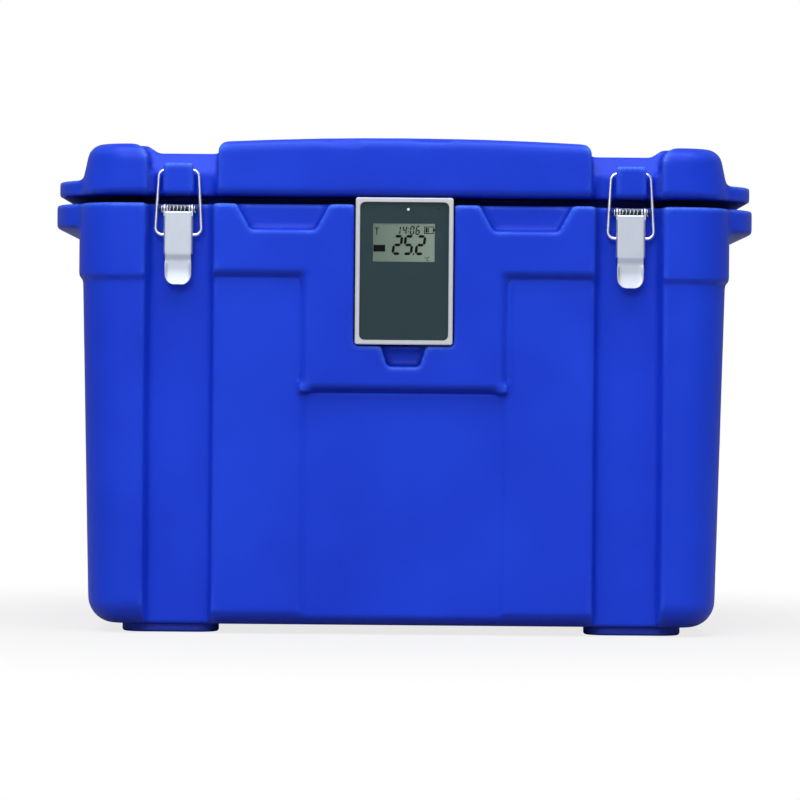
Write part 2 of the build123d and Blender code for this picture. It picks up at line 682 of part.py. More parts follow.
# ---- lid shell, foam and gasket
lid_shell = lid_form() + lid_plug(0.0) - lid_core(SKIN)
lid_shell += hook(-LATCH_X) + hook(LATCH_X)
lid_foam = lid_core(SKIN + FOAM_GAP)
for cut in shanks(upper_spots, (0, -1, 0), SCREW_R + HOLE_GAP, SCREW_LENGTH + END_GAP):
    lid_shell -= cut
for cut in shanks(upper_spots, (0, -1, 0), SCREW_R + FOAM_HOLE_GAP,
                  SCREW_LENGTH + FOAM_SCREW_END):
    lid_foam -= cut
lid_pan = lid_shell & slab(-BAND_WIDTH, BAND_WIDTH, -BAND_DEPTH, BAND_DEPTH, 0, LID_Z)
save("lid_pan", lid_pan)
save("lid_shell", lid_shell - lid_pan)
save("lid_foam", lid_foam)

ring_out = RectangleRounded(CAVITY_WIDTH + 2 * (GASKET_INSET + GASKET_WIDTH),
                            CAVITY_DEPTH + 2 * (GASKET_INSET + GASKET_WIDTH),
                            CAVITY_CORNER_R + GASKET_INSET + GASKET_WIDTH)
ring_in = RectangleRounded(CAVITY_WIDTH + 2 * GASKET_INSET, CAVITY_DEPTH + 2 * GASKET_INSET,
                           CAVITY_CORNER_R + GASKET_INSET)
gasket = extrude(Pos(0, 0, RIM_Z + GASKET_LIFT) * (ring_out - ring_in),
                 amount=RIM_GAP - GASKET_LIFT)
save("lid_gasket", gasket)


# ---- rear hinges
def knuckles(x, ends):
    return [rod((x + a, HINGE_Y, HINGE_Z), (1, 0, 0), b - a, HINGE_KNUCKLE_R)
            for a, b in ends]


def hinge_leaf(x, up, own, other):
    """One leaf with its knuckles; own and other are stretches along the pin."""
    half = HINGE_WIDTH / 2
    z0, z1 = sorted((HINGE_Z + up * HINGE_LEAF_START, HINGE_Z + up * HINGE_LEAF_HEIGHT))
    leaf = slab(x - half, x + half, HINGE_FACE_Y, HINGE_FACE_Y + HINGE_LEAF, z0, z1)
    for a, b in other:
        leaf -= rod((x + a - END_GAP, HINGE_Y, HINGE_Z), (1, 0, 0), b - a + 2 * END_GAP,
                    HINGE_KNUCKLE_R + END_GAP)
    for piece in knuckles(x, own):
        leaf += piece
    return leaf - rod((x - half - 1, HINGE_Y, HINGE_Z), (1, 0, 0), HINGE_WIDTH + 2,
                      HINGE_PIN_R + RUNNING_GAP)


pitch = HINGE_WIDTH / 5
outer_knuckles = [(-2.5 * pitch, -1.5 * pitch), (-0.5 * pitch, 0.5 * pitch),
                  (1.5 * pitch, 2.5 * pitch)]
inner_knuckles = [(-1.5 * pitch + END_GAP, -0.5 * pitch - END_GAP),
                  (0.5 * pitch + END_GAP, 1.5 * pitch - END_GAP)]
for side, s in (("left", -1), ("right", 1)):
    x = s * HINGE_X
    lower = hinge_leaf(x, -1, outer_knuckles, inner_knuckles)
    upper = hinge_leaf(x, 1, inner_knuckles, outer_knuckles)
    for cut in shanks(lower_spots, (0, -1, 0), SCREW_R + HOLE_GAP, HINGE_LEAF + 1):
        lower -= cut
    for cut in shanks(upper_spots, (0, -1, 0), SCREW_R + HOLE_GAP, HINGE_LEAF + 1):
        upper -= cut
    pin = rod((x - HINGE_WIDTH / 2 - HINGE_PIN_END, HINGE_Y, HINGE_Z), (1, 0, 0),
              HINGE_WIDTH + 2 * HINGE_PIN_END, HINGE_PIN_R)
    save(f"hinge_lower_leaf_{side}", lower)
    save(f"hinge_upper_leaf_{side}", upper)
    save(f"hinge_pin_{side}", pin)
save("hinge_lower_screws", group([fastener(p, (0, 1, 0), SCREW_HEAD_R, SCREW_HEAD, SCREW_R,
                                           SCREW_LENGTH) for p in lower_spots]))
save("hinge_upper_screws", group([fastener(p, (0, 1, 0), SCREW_HEAD_R, SCREW_HEAD, SCREW_R,
                                           SCREW_LENGTH) for p in upper_spots]))


# ---- front latches, in (x from the middle, out from the channel floor, z)
def latch_yz(out, z):
    return (FLOOR_Y - out, z)


def cross_rod(x, out, z, half, radius):
    y = FLOOR_Y - out
    return rod((x - half, y, z), (1, 0, 0), 2 * half, radius)


def latch_plate(x):
    half = LATCH_PLATE_WIDTH / 2
    top = PIVOT_Z + LATCH_PIN_R * 2
    foot = PIVOT_Z - LATCH_PLATE_DROP
    plate = slab(x - half, x + half, FLOOR_Y - LATCH_SHEET, FLOOR_Y, foot, top)
    reach = LEVER_FACE_OUT - LEVER_SHEET - END_GAP
    for s in (-1, 1):
        x0, x1 = sorted((x + s * half, x + s * (half - LATCH_SHEET)))
        ear = slab(x0, x1, FLOOR_Y - reach, FLOOR_Y, PIVOT_Z - EAR_DROP, top)
        lip = ear.edges().filter_by(Axis.X).sort_by(Axis.Y)[:2]
        plate += fillet(lip, EAR_R)
    return plate - cross_rod(x, PIVOT_OUT, PIVOT_Z, half + 1, LATCH_PIN_R + RUNNING_GAP)


def latch_lever(x):
    half = LEVER_WIDTH / 2
    face = LEVER_FACE_OUT
    back = face - LEVER_SHEET
    cheek_in = ROD_OUT - WIRE_R - CHEEK_BEHIND_ROD
    cover = slab(x - half, x + half, FLOOR_Y - face, FLOOR_Y - back,
                 LEVER_SHOULDER_Z, LEVER_TOP_Z)
    for s in (-1, 1):
        x0, x1 = sorted((x + s * half, x + s * (half - LATCH_SHEET)))
        cheek = slab(x0, x1, FLOOR_Y - face, FLOOR_Y - cheek_in, LEVER_SHOULDER_Z, LEVER_TOP_Z)
        cheek += rod((x0, FLOOR_Y - PIVOT_OUT, PIVOT_Z), (1, 0, 0), LATCH_SHEET,
                     face - PIVOT_OUT)
        cover += cheek
    joggle = back - LEVER_JOGGLE
    flare = face + LEVER_FLARE
    step = LEVER_SHOULDER_Z - LEVER_JOGGLE_RUN
    lap = LEVER_SHOULDER_Z + LEVER_LAP
    tip = [(back, lap), (face, lap),
           (face, LEVER_SHOULDER_Z), (joggle + LEVER_SHEET, step),
           (joggle + LEVER_SHEET, LEVER_BEND_Z), (flare, LEVER_TIP_Z),
           (flare - LEVER_SHEET, LEVER_TIP_Z - LEVER_FOLD),
           (joggle, LEVER_BEND_Z - LEVER_FOLD), (joggle, step - LEVER_FOLD),
           (back, LEVER_SHOULDER_Z - LEVER_FOLD)]
    half = LEVER_TIP_WIDTH / 2
    tab = along_x([latch_yz(o, z) for o, z in tip], x - half, x + half)
    ends = Plane(origin=(x, FRONT_Y, 0), x_dir=(1, 0, 0), z_dir=(0, -1, 0))
    low = LEVER_TIP_Z - EPS
    mask = Rectangle(LEVER_TIP_WIDTH, 2 * OVER, align=(Align.CENTER, Align.MIN))
    mask = fillet(mask.vertices().sort_by(Axis.Y)[:2], LEVER_TIP_R)
    mask = extrude(ends * (Pos(0, low) * mask), amount=CHANNEL_DEPTH + OVER, both=True)
    lever = cover + (tab & mask)
    lever -= cross_rod(x, PIVOT_OUT, PIVOT_Z, LEVER_WIDTH, LATCH_PIN_R + RUNNING_GAP)
    return lever - cross_rod(x, ROD_OUT, ROD_Z, LEVER_WIDTH, WIRE_R + RUNNING_GAP)


def latch_bail(x):
    """The closed wire loop from the lever's rod to the hook."""
    lean = ROD_OUT - HOOK_WIRE_OUT
    rise = HOOK_WIRE_Z - ROD_Z
    length = sqrt(lean ** 2 + rise ** 2)
    plane = Plane(origin=(x, FLOOR_Y - ROD_OUT, ROD_Z), x_dir=(1, 0, 0),
                  z_dir=(0, -rise / length, lean / length))
    points = [(0, 0), (BAIL_FOOT_HALF, 0), (BAIL_TOP_HALF, length), (0, length)]
    path = FilletPolyline(*points, radius=BAIL_BEND_R)
    section = Plane(origin=path @ 0, x_dir=(0, 0, 1), z_dir=path % 0) * Circle(WIRE_R)
    half = sweep(section, path=path)
    return plane * (half + mirror(half, about=Plane.YZ))


def coil(x, a, b):
    """Close-wound turns of the lever spring, ridged, around the pin."""
    turns = max(2, round((b - a) / (2 * SPRING_WIRE)))
    step = (b - a) / turns
    bore = LATCH_PIN_R + SPRING_GAP
    sleeve = cross_rod(x + (a + b) / 2, PIVOT_OUT, PIVOT_Z, (b - a) / 2 - step / 4,
                       bore + SPRING_WIRE)
    for n in range(turns):
        at = x + a + (n + 0.5) * step
        ring = Torus(bore + SPRING_WIRE, step / 2 - RUNNING_GAP / 2)
        sleeve += Pos(at, FLOOR_Y - PIVOT_OUT, PIVOT_Z) * (Rot(0, 90, 0) * ring)
    return sleeve - cross_rod(x, PIVOT_OUT, PIVOT_Z, LATCH_PIN_HALF + EPS, bore)


for side, s in (("left", -1), ("right", 1)):
    x = s * LATCH_X
    inner = LATCH_PLATE_WIDTH / 2 - LATCH_SHEET - SPRING_GAP
    outer = LEVER_WIDTH / 2 + SPRING_GAP
    end = LATCH_PIN_HALF - LATCH_PIN_HEAD - SPRING_GAP
    plate = latch_plate(x)
    for cut in shanks(rivet_spots, (0, 1, 0), RIVET_R + HOLE_GAP, LATCH_SHEET + EPS):
        plate -= cut
    pin = cross_rod(x, PIVOT_OUT, PIVOT_Z, LATCH_PIN_HALF, LATCH_PIN_R)
    for t in (-1, 1):
        pin += cross_rod(x + t * LATCH_PIN_HALF, PIVOT_OUT, PIVOT_Z, LATCH_PIN_HEAD,
                         LATCH_PIN_HEAD_R)
    spring = [coil(x, -inner, inner), coil(x, outer, end), coil(x, -end, -outer)]
    save(f"latch_plate_{side}", plate)
    save(f"latch_lever_{side}", latch_lever(x))
    save(f"latch_bail_{side}", latch_bail(x))
    save(f"latch_pin_{side}", pin)
    save(f"latch_spring_{side}", group(spring))
save("latch_rivets", group([fastener(p, (0, -1, 0), RIVET_HEAD_R, RIVET_HEAD, RIVET_R,
                                     RIVET_LENGTH) for p in rivet_spots]))

# ---- temperature logger, front at LOGGER_FRONT_Y
mid_z = LOGGER_TOP_Z - LOGGER_HEIGHT / 2
lcd_mid_z = LOGGER_TOP_Z - LCD_DROP - LCD_HEIGHT / 2
glass_y = LOGGER_FRONT_Y + GLASS_SINK
ledge_y = glass_y + GLASS_THICK
inside_y = ledge_y + LOGGER_WALL
cover_y = LOGGER_BACK_Y - LOGGER_WALL


def panel(width, height, radius, y0, y1, z=None, x=0.0):
    """An upright plate with round corners, from y0 back to y1."""
    centre = mid_z if z is None else z
    plane = Plane(origin=(x, y1, centre), x_dir=(1, 0, 0), z_dir=(0, -1, 0))
    return extrude(plane * RectangleRounded(width, height, radius), amount=y1 - y0)


inner_w = LOGGER_WIDTH - 2 * LOGGER_WALL
inner_h = LOGGER_HEIGHT - 2 * LOGGER_WALL
case = panel(LOGGER_WIDTH, LOGGER_HEIGHT, LOGGER_CORNER_R, LOGGER_FRONT_Y, LOGGER_BACK_Y)
case = chamfer(case.faces().sort_by(Axis.Y)[0].edges(), LOGGER_CHAMFER)
case -= panel(GLASS_WIDTH + 2 * GLASS_GAP, GLASS_HEIGHT + 2 * GLASS_GAP, GLASS_R,
              LOGGER_FRONT_Y - EPS, ledge_y)
case -= panel(GLASS_WIDTH - 2 * GLASS_SEAT, GLASS_HEIGHT - 2 * GLASS_SEAT, GLASS_R - CASE_R,
              LOGGER_FRONT_Y, inside_y + EPS)
case -= panel(inner_w, inner_h, CASE_R, inside_y, LOGGER_BACK_Y + EPS)
boss_x = inner_w / 2 - BOSS_INSET
boss_z = inner_h / 2 - BOSS_INSET
cover_spots = [(s * boss_x, LOGGER_BACK_Y, mid_z + t * boss_z) for s in (-1, 1) for t in (-1, 1)]
for x, y, z in cover_spots:
    case += rod((x, cover_y, z), (0, -1, 0), cover_y - inside_y + EPS / 2, BOSS_R)
    case += slab(x - BOSS_BLOCK, x + BOSS_BLOCK, inside_y, cover_y, z - BOSS_BLOCK,
                 z + BOSS_BLOCK) & panel(inner_w + EPS, inner_h + EPS, CASE_R, inside_y, cover_y)
    case -= rod((x, cover_y + EPS, z), (0, -1, 0), BOSS_BORE, COVER_SCREW_R + HOLE_GAP)
save("logger_case", case)
save("logger_glass", panel(GLASS_WIDTH, GLASS_HEIGHT, GLASS_R - GLASS_GAP, glass_y,
                           ledge_y - RUNNING_GAP))
lcd_y = ledge_y + END_GAP
save("logger_lcd", panel(LCD_WIDTH, LCD_HEIGHT, LCD_R, lcd_y, lcd_y + LCD_THICK,
                         lcd_mid_z, LCD_SHIFT))
board_y = lcd_y + LCD_THICK + BOARD_GAP
save("logger_board", panel(inner_w - 2 * BOARD_SIDE, inner_h - 2 * BOARD_END, CASE_R / 2,
                           board_y, board_y + BOARD_THICK))
cell_y = board_y + BOARD_THICK + CELL_GAP + CELL_R
cells = [rod((-CELL_LENGTH / 2, cell_y, mid_z + s * (CELL_R + END_GAP)), (1, 0, 0),
             CELL_LENGTH, CELL_R)
         for s in (-1, 1)]
save("logger_cells", group(cells))
led = rod((LAMP_SHIFT, board_y - SEAT_GAP, LOGGER_TOP_Z - LAMP_DROP), (0, -1, 0),
          board_y - ledge_y - END_GAP, LAMP_R)
save("logger_lamp", led)
cover = panel(inner_w - 2 * COVER_GAP, inner_h - 2 * COVER_GAP, CASE_R - COVER_GAP,
              cover_y + RUNNING_GAP, LOGGER_BACK_Y)
for x, y, z in cover_spots:
    cover -= rod((x, y + EPS, z), (0, -1, 0), LOGGER_WALL + 2 * EPS, COVER_HOLE_R)
    cover -= rod((x, y, z), (0, -1, 0), COVER_RECESS, COVER_RECESS_R)
plug = rod((0, LOGGER_BACK_Y + SEAT_GAP, PROBE_Z), (0, 1, 0), PLUG_LENGTH,
           SLEEVE_R - SLEEVE_WALL - END_GAP)
save("logger_back_cover", cover)
save("logger_plug", plug)
save("logger_cover_screws", group([fastener((x, y - COVER_RECESS, z), (0, 1, 0),
                                            COVER_SCREW_HEAD_R, COVER_SCREW_HEAD,
                                            COVER_SCREW_R, COVER_SCREW_LENGTH)
                                   for x, y, z in cover_spots]))

# ---- probe through the front wall
bore = SLEEVE_R - SLEEVE_WALL
sleeve = rod(probe_at, (0, 1, 0), probe_wall, SLEEVE_R)
inner_end = (0.0, -CAVITY_DEPTH / 2, PROBE_Z)
sleeve += rod(inner_end, (0, 1, 0), FLANGE_THICK, SLEEVE_R + FLANGE_REACH)
sleeve -= rod((0, BAY_Y - EPS, PROBE_Z), (0, 1, 0), probe_wall + OVER, bore)
save("probe_sleeve", sleeve)
grommet_y = -CAVITY_DEPTH / 2 - GROMMET_INSET
grommet = rod((0, grommet_y, PROBE_Z), (0, 1, 0), GROMMET_LENGTH, bore - GROMMET_GAP)
grommet -= rod((0, grommet_y - EPS, PROBE_Z), (0, 1, 0), OVER, PROBE_R + GROMMET_GAP)
save("probe_grommet", grommet)
save("probe_sensor", rod((0, grommet_y - PROBE_STUB, PROBE_Z), (0, 1, 0), PROBE_LENGTH,
                         PROBE_R))

# ---- vent and drain on the left side
vent = rod(vent_at, (-1, 0, 0), CAP_THICK, CAP_R)
vent = chamfer(vent.faces().sort_by(Axis.X)[0].edges(), CAP_CHAMFER)
vent += rod(vent_at, (1, 0, 0), VENT_STEM, SLEEVE_R)
save("vent_cap", vent)
tube = rod(drain_at, (1, 0, 0), drain_run, DRAIN_R)
tube -= rod((drain_seat_x - EPS, 0, DRAIN_Z), (1, 0, 0), drain_run + 2 * EPS,
            DRAIN_R - DRAIN_WALL)
save("drain_tube", tube)
plug_seat = (drain_seat_x - SEAT_GAP, 0, DRAIN_Z)
drain = rod(plug_seat, (-1, 0, 0), CAP_THICK, CAP_R)
drain = chamfer(drain.faces().sort_by(Axis.X)[0].edges(), CAP_CHAMFER)
drain += rod(plug_seat, (1, 0, 0), DRAIN_PLUG_LENGTH, DRAIN_R - DRAIN_WALL - END_GAP)
save("drain_plug", drain)

# ---- rubber feet
pad = extrude(SlotOverall(PAD_LENGTH, PAD_WIDTH), amount=FOOT_HEIGHT)
pad = chamfer(pad.faces().sort_by(Axis.Z)[0].edges(), PAD_CHAMFER)
for front, t in (("front", -1), ("rear", 1)):
    for side, s in (("left", -1), ("right", 1)):
        foot = Pos(s * PAD_X, t * PAD_Y, 0) * pad
        for x, y, z in foot_spots:
            foot -= rod((x, y, -EPS), (0, 0, 1), z + EPS, SCREW_HEAD_R + EPS)
            foot -= rod((x, y, 0), (0, 0, 1), OVER, SCREW_R + HOLE_GAP)
        save(f"foot_{front}_{side}", foot)
save("foot_screws", group([fastener(p, (0, 0, -1), SCREW_HEAD_R, SCREW_HEAD, SCREW_R,
                                    foot_screw_length) for p in foot_spots]))
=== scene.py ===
import json
import math

import bmesh
import bpy
import numpy as np
from mathutils import Matrix, Vector
from mathutils.bvhtree import BVHTree


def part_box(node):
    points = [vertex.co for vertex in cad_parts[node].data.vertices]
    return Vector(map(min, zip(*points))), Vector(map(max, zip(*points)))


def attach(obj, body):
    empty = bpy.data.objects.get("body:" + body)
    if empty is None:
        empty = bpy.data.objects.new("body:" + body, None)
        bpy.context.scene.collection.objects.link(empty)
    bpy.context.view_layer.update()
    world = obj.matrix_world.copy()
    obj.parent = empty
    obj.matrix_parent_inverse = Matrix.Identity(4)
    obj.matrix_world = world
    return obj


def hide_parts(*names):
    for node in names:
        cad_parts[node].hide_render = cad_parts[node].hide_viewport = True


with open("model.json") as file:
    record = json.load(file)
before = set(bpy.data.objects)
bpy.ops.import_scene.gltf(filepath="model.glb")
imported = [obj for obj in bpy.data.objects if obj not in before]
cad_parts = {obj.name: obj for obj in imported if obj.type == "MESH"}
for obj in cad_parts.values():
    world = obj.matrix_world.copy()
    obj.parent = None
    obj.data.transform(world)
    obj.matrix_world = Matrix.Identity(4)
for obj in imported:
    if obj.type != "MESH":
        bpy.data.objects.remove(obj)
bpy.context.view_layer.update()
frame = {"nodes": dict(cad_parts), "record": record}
NODES = frame["nodes"]
scene = bpy.context.scene

# Sizes in metres, in the frame of the box: +Z up, the front faces -Y.
FIELD_WIDTH = 0.736             # what the camera sees at the plane of the front
FRONT_Y = -0.212
CHANNEL_FLOOR_Y = -0.188        # floor of the latch channels
JOIN_GAP = 2e-5                 # corners of one solid's triangles lie closer than this


# ---------------------------------------------------------------- helpers
def colour(hex_value, alpha=1.0):
    """An sRGB hex colour as linear RGBA."""
    text = hex_value.lstrip("#")
    levels = [int(text[i:i + 2], 16) / 255 for i in (0, 2, 4)]
    return tuple(v / 12.92 if v <= 0.04045 else ((v + 0.055) / 1.055) ** 2.4
                 for v in levels) + (alpha,)


def add(tree, kind, inputs=None, **settings):
    """A node with its settings; an input is given a value or another node's output."""
    node = tree.nodes.new(kind)
    for name, value in settings.items():
        setattr(node, name, value)
    for name, value in (inputs or {}).items():
        socket = node.inputs[name]
        if isinstance(value, bpy.types.NodeSocket):
            tree.links.new(value, socket)
        else:
            socket.default_value = value
    return node


def new_material(name):
    """A material with an empty tree, its output node and the object coordinates."""
    material = bpy.data.materials.new(name)
    material.use_nodes = True
    tree = material.node_tree
    tree.nodes.clear()
    out = add(tree, "ShaderNodeOutputMaterial")
    place = add(tree, "ShaderNodeTexCoord").outputs["Object"]
    return material, tree, out, place


def link_object(name, mesh):
    piece = bpy.data.objects.new(name, mesh)
    scene.collection.objects.link(piece)
    return piece


def finished(piece):
    """The piece with its modifiers applied, as a plain mesh."""
    graph = bpy.context.evaluated_depsgraph_get()
    mesh = bpy.data.meshes.new_from_object(piece.evaluated_get(graph))
    piece.modifiers.clear()
    piece.data = mesh
    return piece


def shade(mesh):
    mesh.polygons.foreach_set("use_smooth", [True] * len(mesh.polygons))


def mesh_of(name, shape):
    """A new mesh with a shape's faces; the shape is used up."""
    mesh = bpy.data.meshes.new(name)
    shape.to_mesh(mesh)
    shape.free()
    return mesh


# ---------------------------------------------------------------- materials
def rotomoulded():
    """Rotomoulded polyethylene: an even deep blue with a waxy half gloss, a faint
    orange peel from the mould, a painted highlight on edges that face up and painted
    shade in hollows and on undersides."""
    material, tree, out, place = new_material("rotomoulded_polyethylene")
    cloud = add(tree, "ShaderNodeTexNoise", {"Vector": place, "Scale": 9.0, "Detail": 2.0})
    tint = add(tree, "ShaderNodeMapRange", {"Value": cloud.outputs["Fac"], "From Min": 0.3,
               "From Max": 0.7})
    tone = add(tree, "ShaderNodeMix", {"Factor": tint.outputs[0], "A": colour("#1537c8"),
               "B": colour("#193fd4")}, data_type="RGBA")
    grain = add(tree, "ShaderNodeTexNoise", {"Vector": place, "Scale": 620.0, "Detail": 2.0})
    patchy = add(tree, "ShaderNodeMapRange", {"Value": grain.outputs["Fac"], "From Min": 0.35,
                 "From Max": 0.7, "To Min": 0.3, "To Max": 1.0})
    facing = add(tree, "ShaderNodeSeparateXYZ",
                 {"Vector": add(tree, "ShaderNodeTexCoord").outputs["Normal"]})
    # Painted highlight: faces turned up catch the top light, so they get the paler blue.
    top_light_share = add(tree, "ShaderNodeMapRange", {"Value": facing.outputs["Z"], "From Min": -0.25,
                 "From Max": 0.35})
    # Painted shade on faces turned down, away from the top light.
    under = add(tree, "ShaderNodeMapRange", {"Value": facing.outputs["Z"], "From Min": -0.12,
                "From Max": -0.75, "To Max": 0.85})
    edge = add(tree, "ShaderNodeAttribute", attribute_name="edge")
    lit_edge = add(tree, "ShaderNodeMath", {0: edge.outputs["Fac"], 1: top_light_share.outputs[0]},
                 operation="MULTIPLY")
    painted_highlight = add(tree, "ShaderNodeMath", {0: lit_edge.outputs[0], 1: patchy.outputs[0]},
                operation="MULTIPLY")
    # Painted shade in concave creases.
    crease = add(tree, "ShaderNodeAttribute", attribute_name="crease")
    crease_shade = add(tree, "ShaderNodeMath", {0: crease.outputs["Fac"], 1: 0.6}, operation="MULTIPLY")
    hollow = add(tree, "ShaderNodeMath", {0: crease_shade.outputs[0], 1: under.outputs[0]},
                 operation="MAXIMUM")
    # Painted shade: hollows and undersides are mixed towards a darker blue.
    deep = add(tree, "ShaderNodeMix", {"Factor": hollow.outputs[0],
               "A": tone.outputs["Result"], "B": colour("#011a8c")}, data_type="RGBA")
    # Painted highlight: a paler blue on convex edges that face up, broken up by a patchy grain.
    with_highlight = add(tree, "ShaderNodeMix", {"Factor": painted_highlight.outputs[0], "A": deep.outputs["Result"],
               "B": colour("#4f80f6")}, data_type="RGBA")
    rough = add(tree, "ShaderNodeMapRange", {"Value": grain.outputs["Fac"], "From Min": 0.2,
                "From Max": 0.8, "To Min": 0.34, "To Max": 0.46})
    # The mould's peel is about 1 mm across, drawn at 2.4 mm so that it shows.
    peel = add(tree, "ShaderNodeTexNoise", {"Vector": place, "Scale": 420.0, "Detail": 2.0})
    bump = add(tree, "ShaderNodeBump", {"Height": peel.outputs["Fac"], "Strength": 0.12,
               "Distance": 0.0006})
    wave = add(tree, "ShaderNodeTexNoise", {"Vector": place, "Scale": 14.0, "Detail": 1.0})
    swell = add(tree, "ShaderNodeBump", {"Height": wave.outputs["Fac"], "Strength": 0.25,
                "Distance": 0.004, "Normal": bump.outputs["Normal"]})
    shader = add(tree, "ShaderNodeBsdfPrincipled", {"Base Color": with_highlight.outputs["Result"],
                 "Roughness": rough.outputs[0], "IOR": 1.51, "Specular IOR Level": 0.34,
                 "Specular Tint": colour("#a3b8ff"),
                 "Normal": swell.outputs["Normal"]})
    tree.links.new(shader.outputs[0], out.inputs[0])
    return material


def smoked_acrylic():
    """Smoked acrylic window: clear and glossy, it darkens what lies behind it a little
    and lets light through to the display."""
    material, tree, out, place = new_material("smoked_acrylic")
    smear = add(tree, "ShaderNodeTexNoise", {"Vector": place, "Scale": 30.0, "Detail": 2.0})
    bump = add(tree, "ShaderNodeBump", {"Height": smear.outputs["Fac"], "Strength": 0.1,
               "Distance": 0.0002})
    sheen = add(tree, "ShaderNodeMapRange", {"Value": smear.outputs["Fac"], "From Min": 0.3,
                "From Max": 0.7, "To Min": 0.03, "To Max": 0.08})
    through = add(tree, "ShaderNodeBsdfTransparent", {"Color": colour("#e4eae8")})
    gloss = add(tree, "ShaderNodeBsdfGlossy", {"Color": (1, 1, 1, 1),
                "Roughness": sheen.outputs[0], "Normal": bump.outputs["Normal"]})
    edge = add(tree, "ShaderNodeFresnel", {"IOR": 1.35, "Normal": bump.outputs["Normal"]})
    # Light leaves the far face unhindered, so the sheet never turns into a mirror inside.
    inside = add(tree, "ShaderNodeNewGeometry").outputs["Backfacing"]
    front = add(tree, "ShaderNodeMath", {0: 1.0, 1: inside}, operation="SUBTRACT")
    share = add(tree, "ShaderNodeMath", {0: edge.outputs[0], 1: front.outputs[0]},
                operation="MULTIPLY")
    sheet = add(tree, "ShaderNodeMixShader", {0: share.outputs[0], 1: through.outputs[0],
                2: gloss.outputs[0]})
    tree.links.new(sheet.outputs[0], out.inputs[0])
    return material


def brushed(name, dark, light, rough, along):
    """Bright metal with fine strokes along one direction, which stretch its highlights."""
    material, tree, out, place = new_material(name)
    squeeze = add(tree, "ShaderNodeMapping", {"Vector": place, "Scale": along})
    strokes = add(tree, "ShaderNodeTexNoise", {"Vector": squeeze.outputs[0], "Scale": 700.0,
                  "Detail": 3.0})
    tone = add(tree, "ShaderNodeMix", {"Factor": strokes.outputs["Fac"], "A": colour(dark),
               "B": colour(light)}, data_type="RGBA")
    sheen = add(tree, "ShaderNodeMapRange", {"Value": strokes.outputs["Fac"], "From Min": 0.3,
                "From Max": 0.7, "To Min": rough - 0.04, "To Max": rough + 0.06})
    bump = add(tree, "ShaderNodeBump", {"Height": strokes.outputs["Fac"], "Strength": 0.15,
               "Distance": 0.00005})
    shader = add(tree, "ShaderNodeBsdfPrincipled", {"Base Color": tone.outputs["Result"],
                 "Metallic": 1.0, "Roughness": sheen.outputs[0],
                 "Normal": bump.outputs["Normal"]})
    tree.links.new(shader.outputs[0], out.inputs[0])
    return material


def grained(name, dark, light, rough, scale, bump_mm, metallic=0.0, gloss=0.5):
    """A matt or satin surface between two near tones, with a grain of its own size."""
    material, tree, out, place = new_material(name)
    grain = add(tree, "ShaderNodeTexNoise", {"Vector": place, "Scale": scale, "Detail": 3.0})
    tone = add(tree, "ShaderNodeMix", {"Factor": grain.outputs["Fac"], "A": colour(dark),
               "B": colour(light)}, data_type="RGBA")
    bump = add(tree, "ShaderNodeBump", {"Height": grain.outputs["Fac"], "Strength": 0.3,
               "Distance": bump_mm / 1000})
    sheen = add(tree, "ShaderNodeMapRange", {"Value": grain.outputs["Fac"], "From Min": 0.2,
                "From Max": 0.8, "To Min": rough * 0.85, "To Max": rough * 1.15})
    shader = add(tree, "ShaderNodeBsdfPrincipled", {"Base Color": tone.outputs["Result"],
                 "Metallic": metallic, "Roughness": sheen.outputs[0],
                 "Specular IOR Level": gloss, "Normal": bump.outputs["Normal"]})
    tree.links.new(shader.outputs[0], out.inputs[0])
    return material


def display_glass():
    """Reflective display: grey-green with a faint pixel grain, and painted shade that makes it
    darker to the left.
    """
    material, tree, out, place = new_material("reflective_display")
    low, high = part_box("logger_lcd")
    spot = add(tree, "ShaderNodeSeparateXYZ", {"Vector": place})
    # Painted shade: the tone runs from dark at the left edge to light at the right.
    across = add(tree, "ShaderNodeMapRange", {"Value": spot.outputs["X"], "From Min": low.x,
                 "From Max": high.x})
    grain = add(tree, "ShaderNodeTexNoise", {"Vector": place, "Scale": 400.0})
    mixed = add(tree, "ShaderNodeMath", {0: grain.outputs["Fac"], 1: 0.12,
                2: across.outputs[0]}, operation="MULTIPLY_ADD")
    tone = add(tree, "ShaderNodeMix", {"Factor": mixed.outputs[0], "A": colour("#a2a9a0"),
               "B": colour("#d0d2c8")}, data_type="RGBA")
    bump = add(tree, "ShaderNodeBump", {"Height": grain.outputs["Fac"], "Strength": 0.1,
               "Distance": 0.00003})
    shader = add(tree, "ShaderNodeBsdfPrincipled", {"Base Color": tone.outputs["Result"],
                 "Roughness": 0.4, "Normal": bump.outputs["Normal"]})
    tree.links.new(shader.outputs[0], out.inputs[0])
    return material


blue = rotomoulded()
smoked = smoked_acrylic()
display = display_glass()
# Sprayed foam: matt, pale yellow and coarse where the shell would be cut open.
foam = grained("polyurethane_foam", "#d9c58c", "#e8d8a6", 0.9, 500.0, 0.3)
# Seal between lid and rim: soft navy rubber that keeps the gap dark.
gasket = grained("navy_silicone_rubber", "#08186a", "#0e2078", 0.7, 350.0, 0.03, 0.0, 0.25)
# Feet: blue rubber, duller and darker than the box.
foot_rubber = grained("blue_foot_rubber", "#0c2aa0", "#1234b4", 0.7, 250.0, 0.1)
# Grommet and cable plug: black rubber with a dusty grain.
rubber = grained("black_rubber", "#141416", "#232326", 0.75, 250.0, 0.1)
# Latch sheet: pressed stainless steel with upright brushing.
steel = brushed("brushed_stainless_sheet", "#c8cfdc", "#d4dbe8", 0.5, (1.0, 1.0, 0.08))
# Wire loops and springs: drawn stainless wire, brighter than the sheet.
wire = brushed("drawn_stainless_wire", "#eceef2", "#f6f8fa", 0.4, (0.3, 0.3, 1.0))
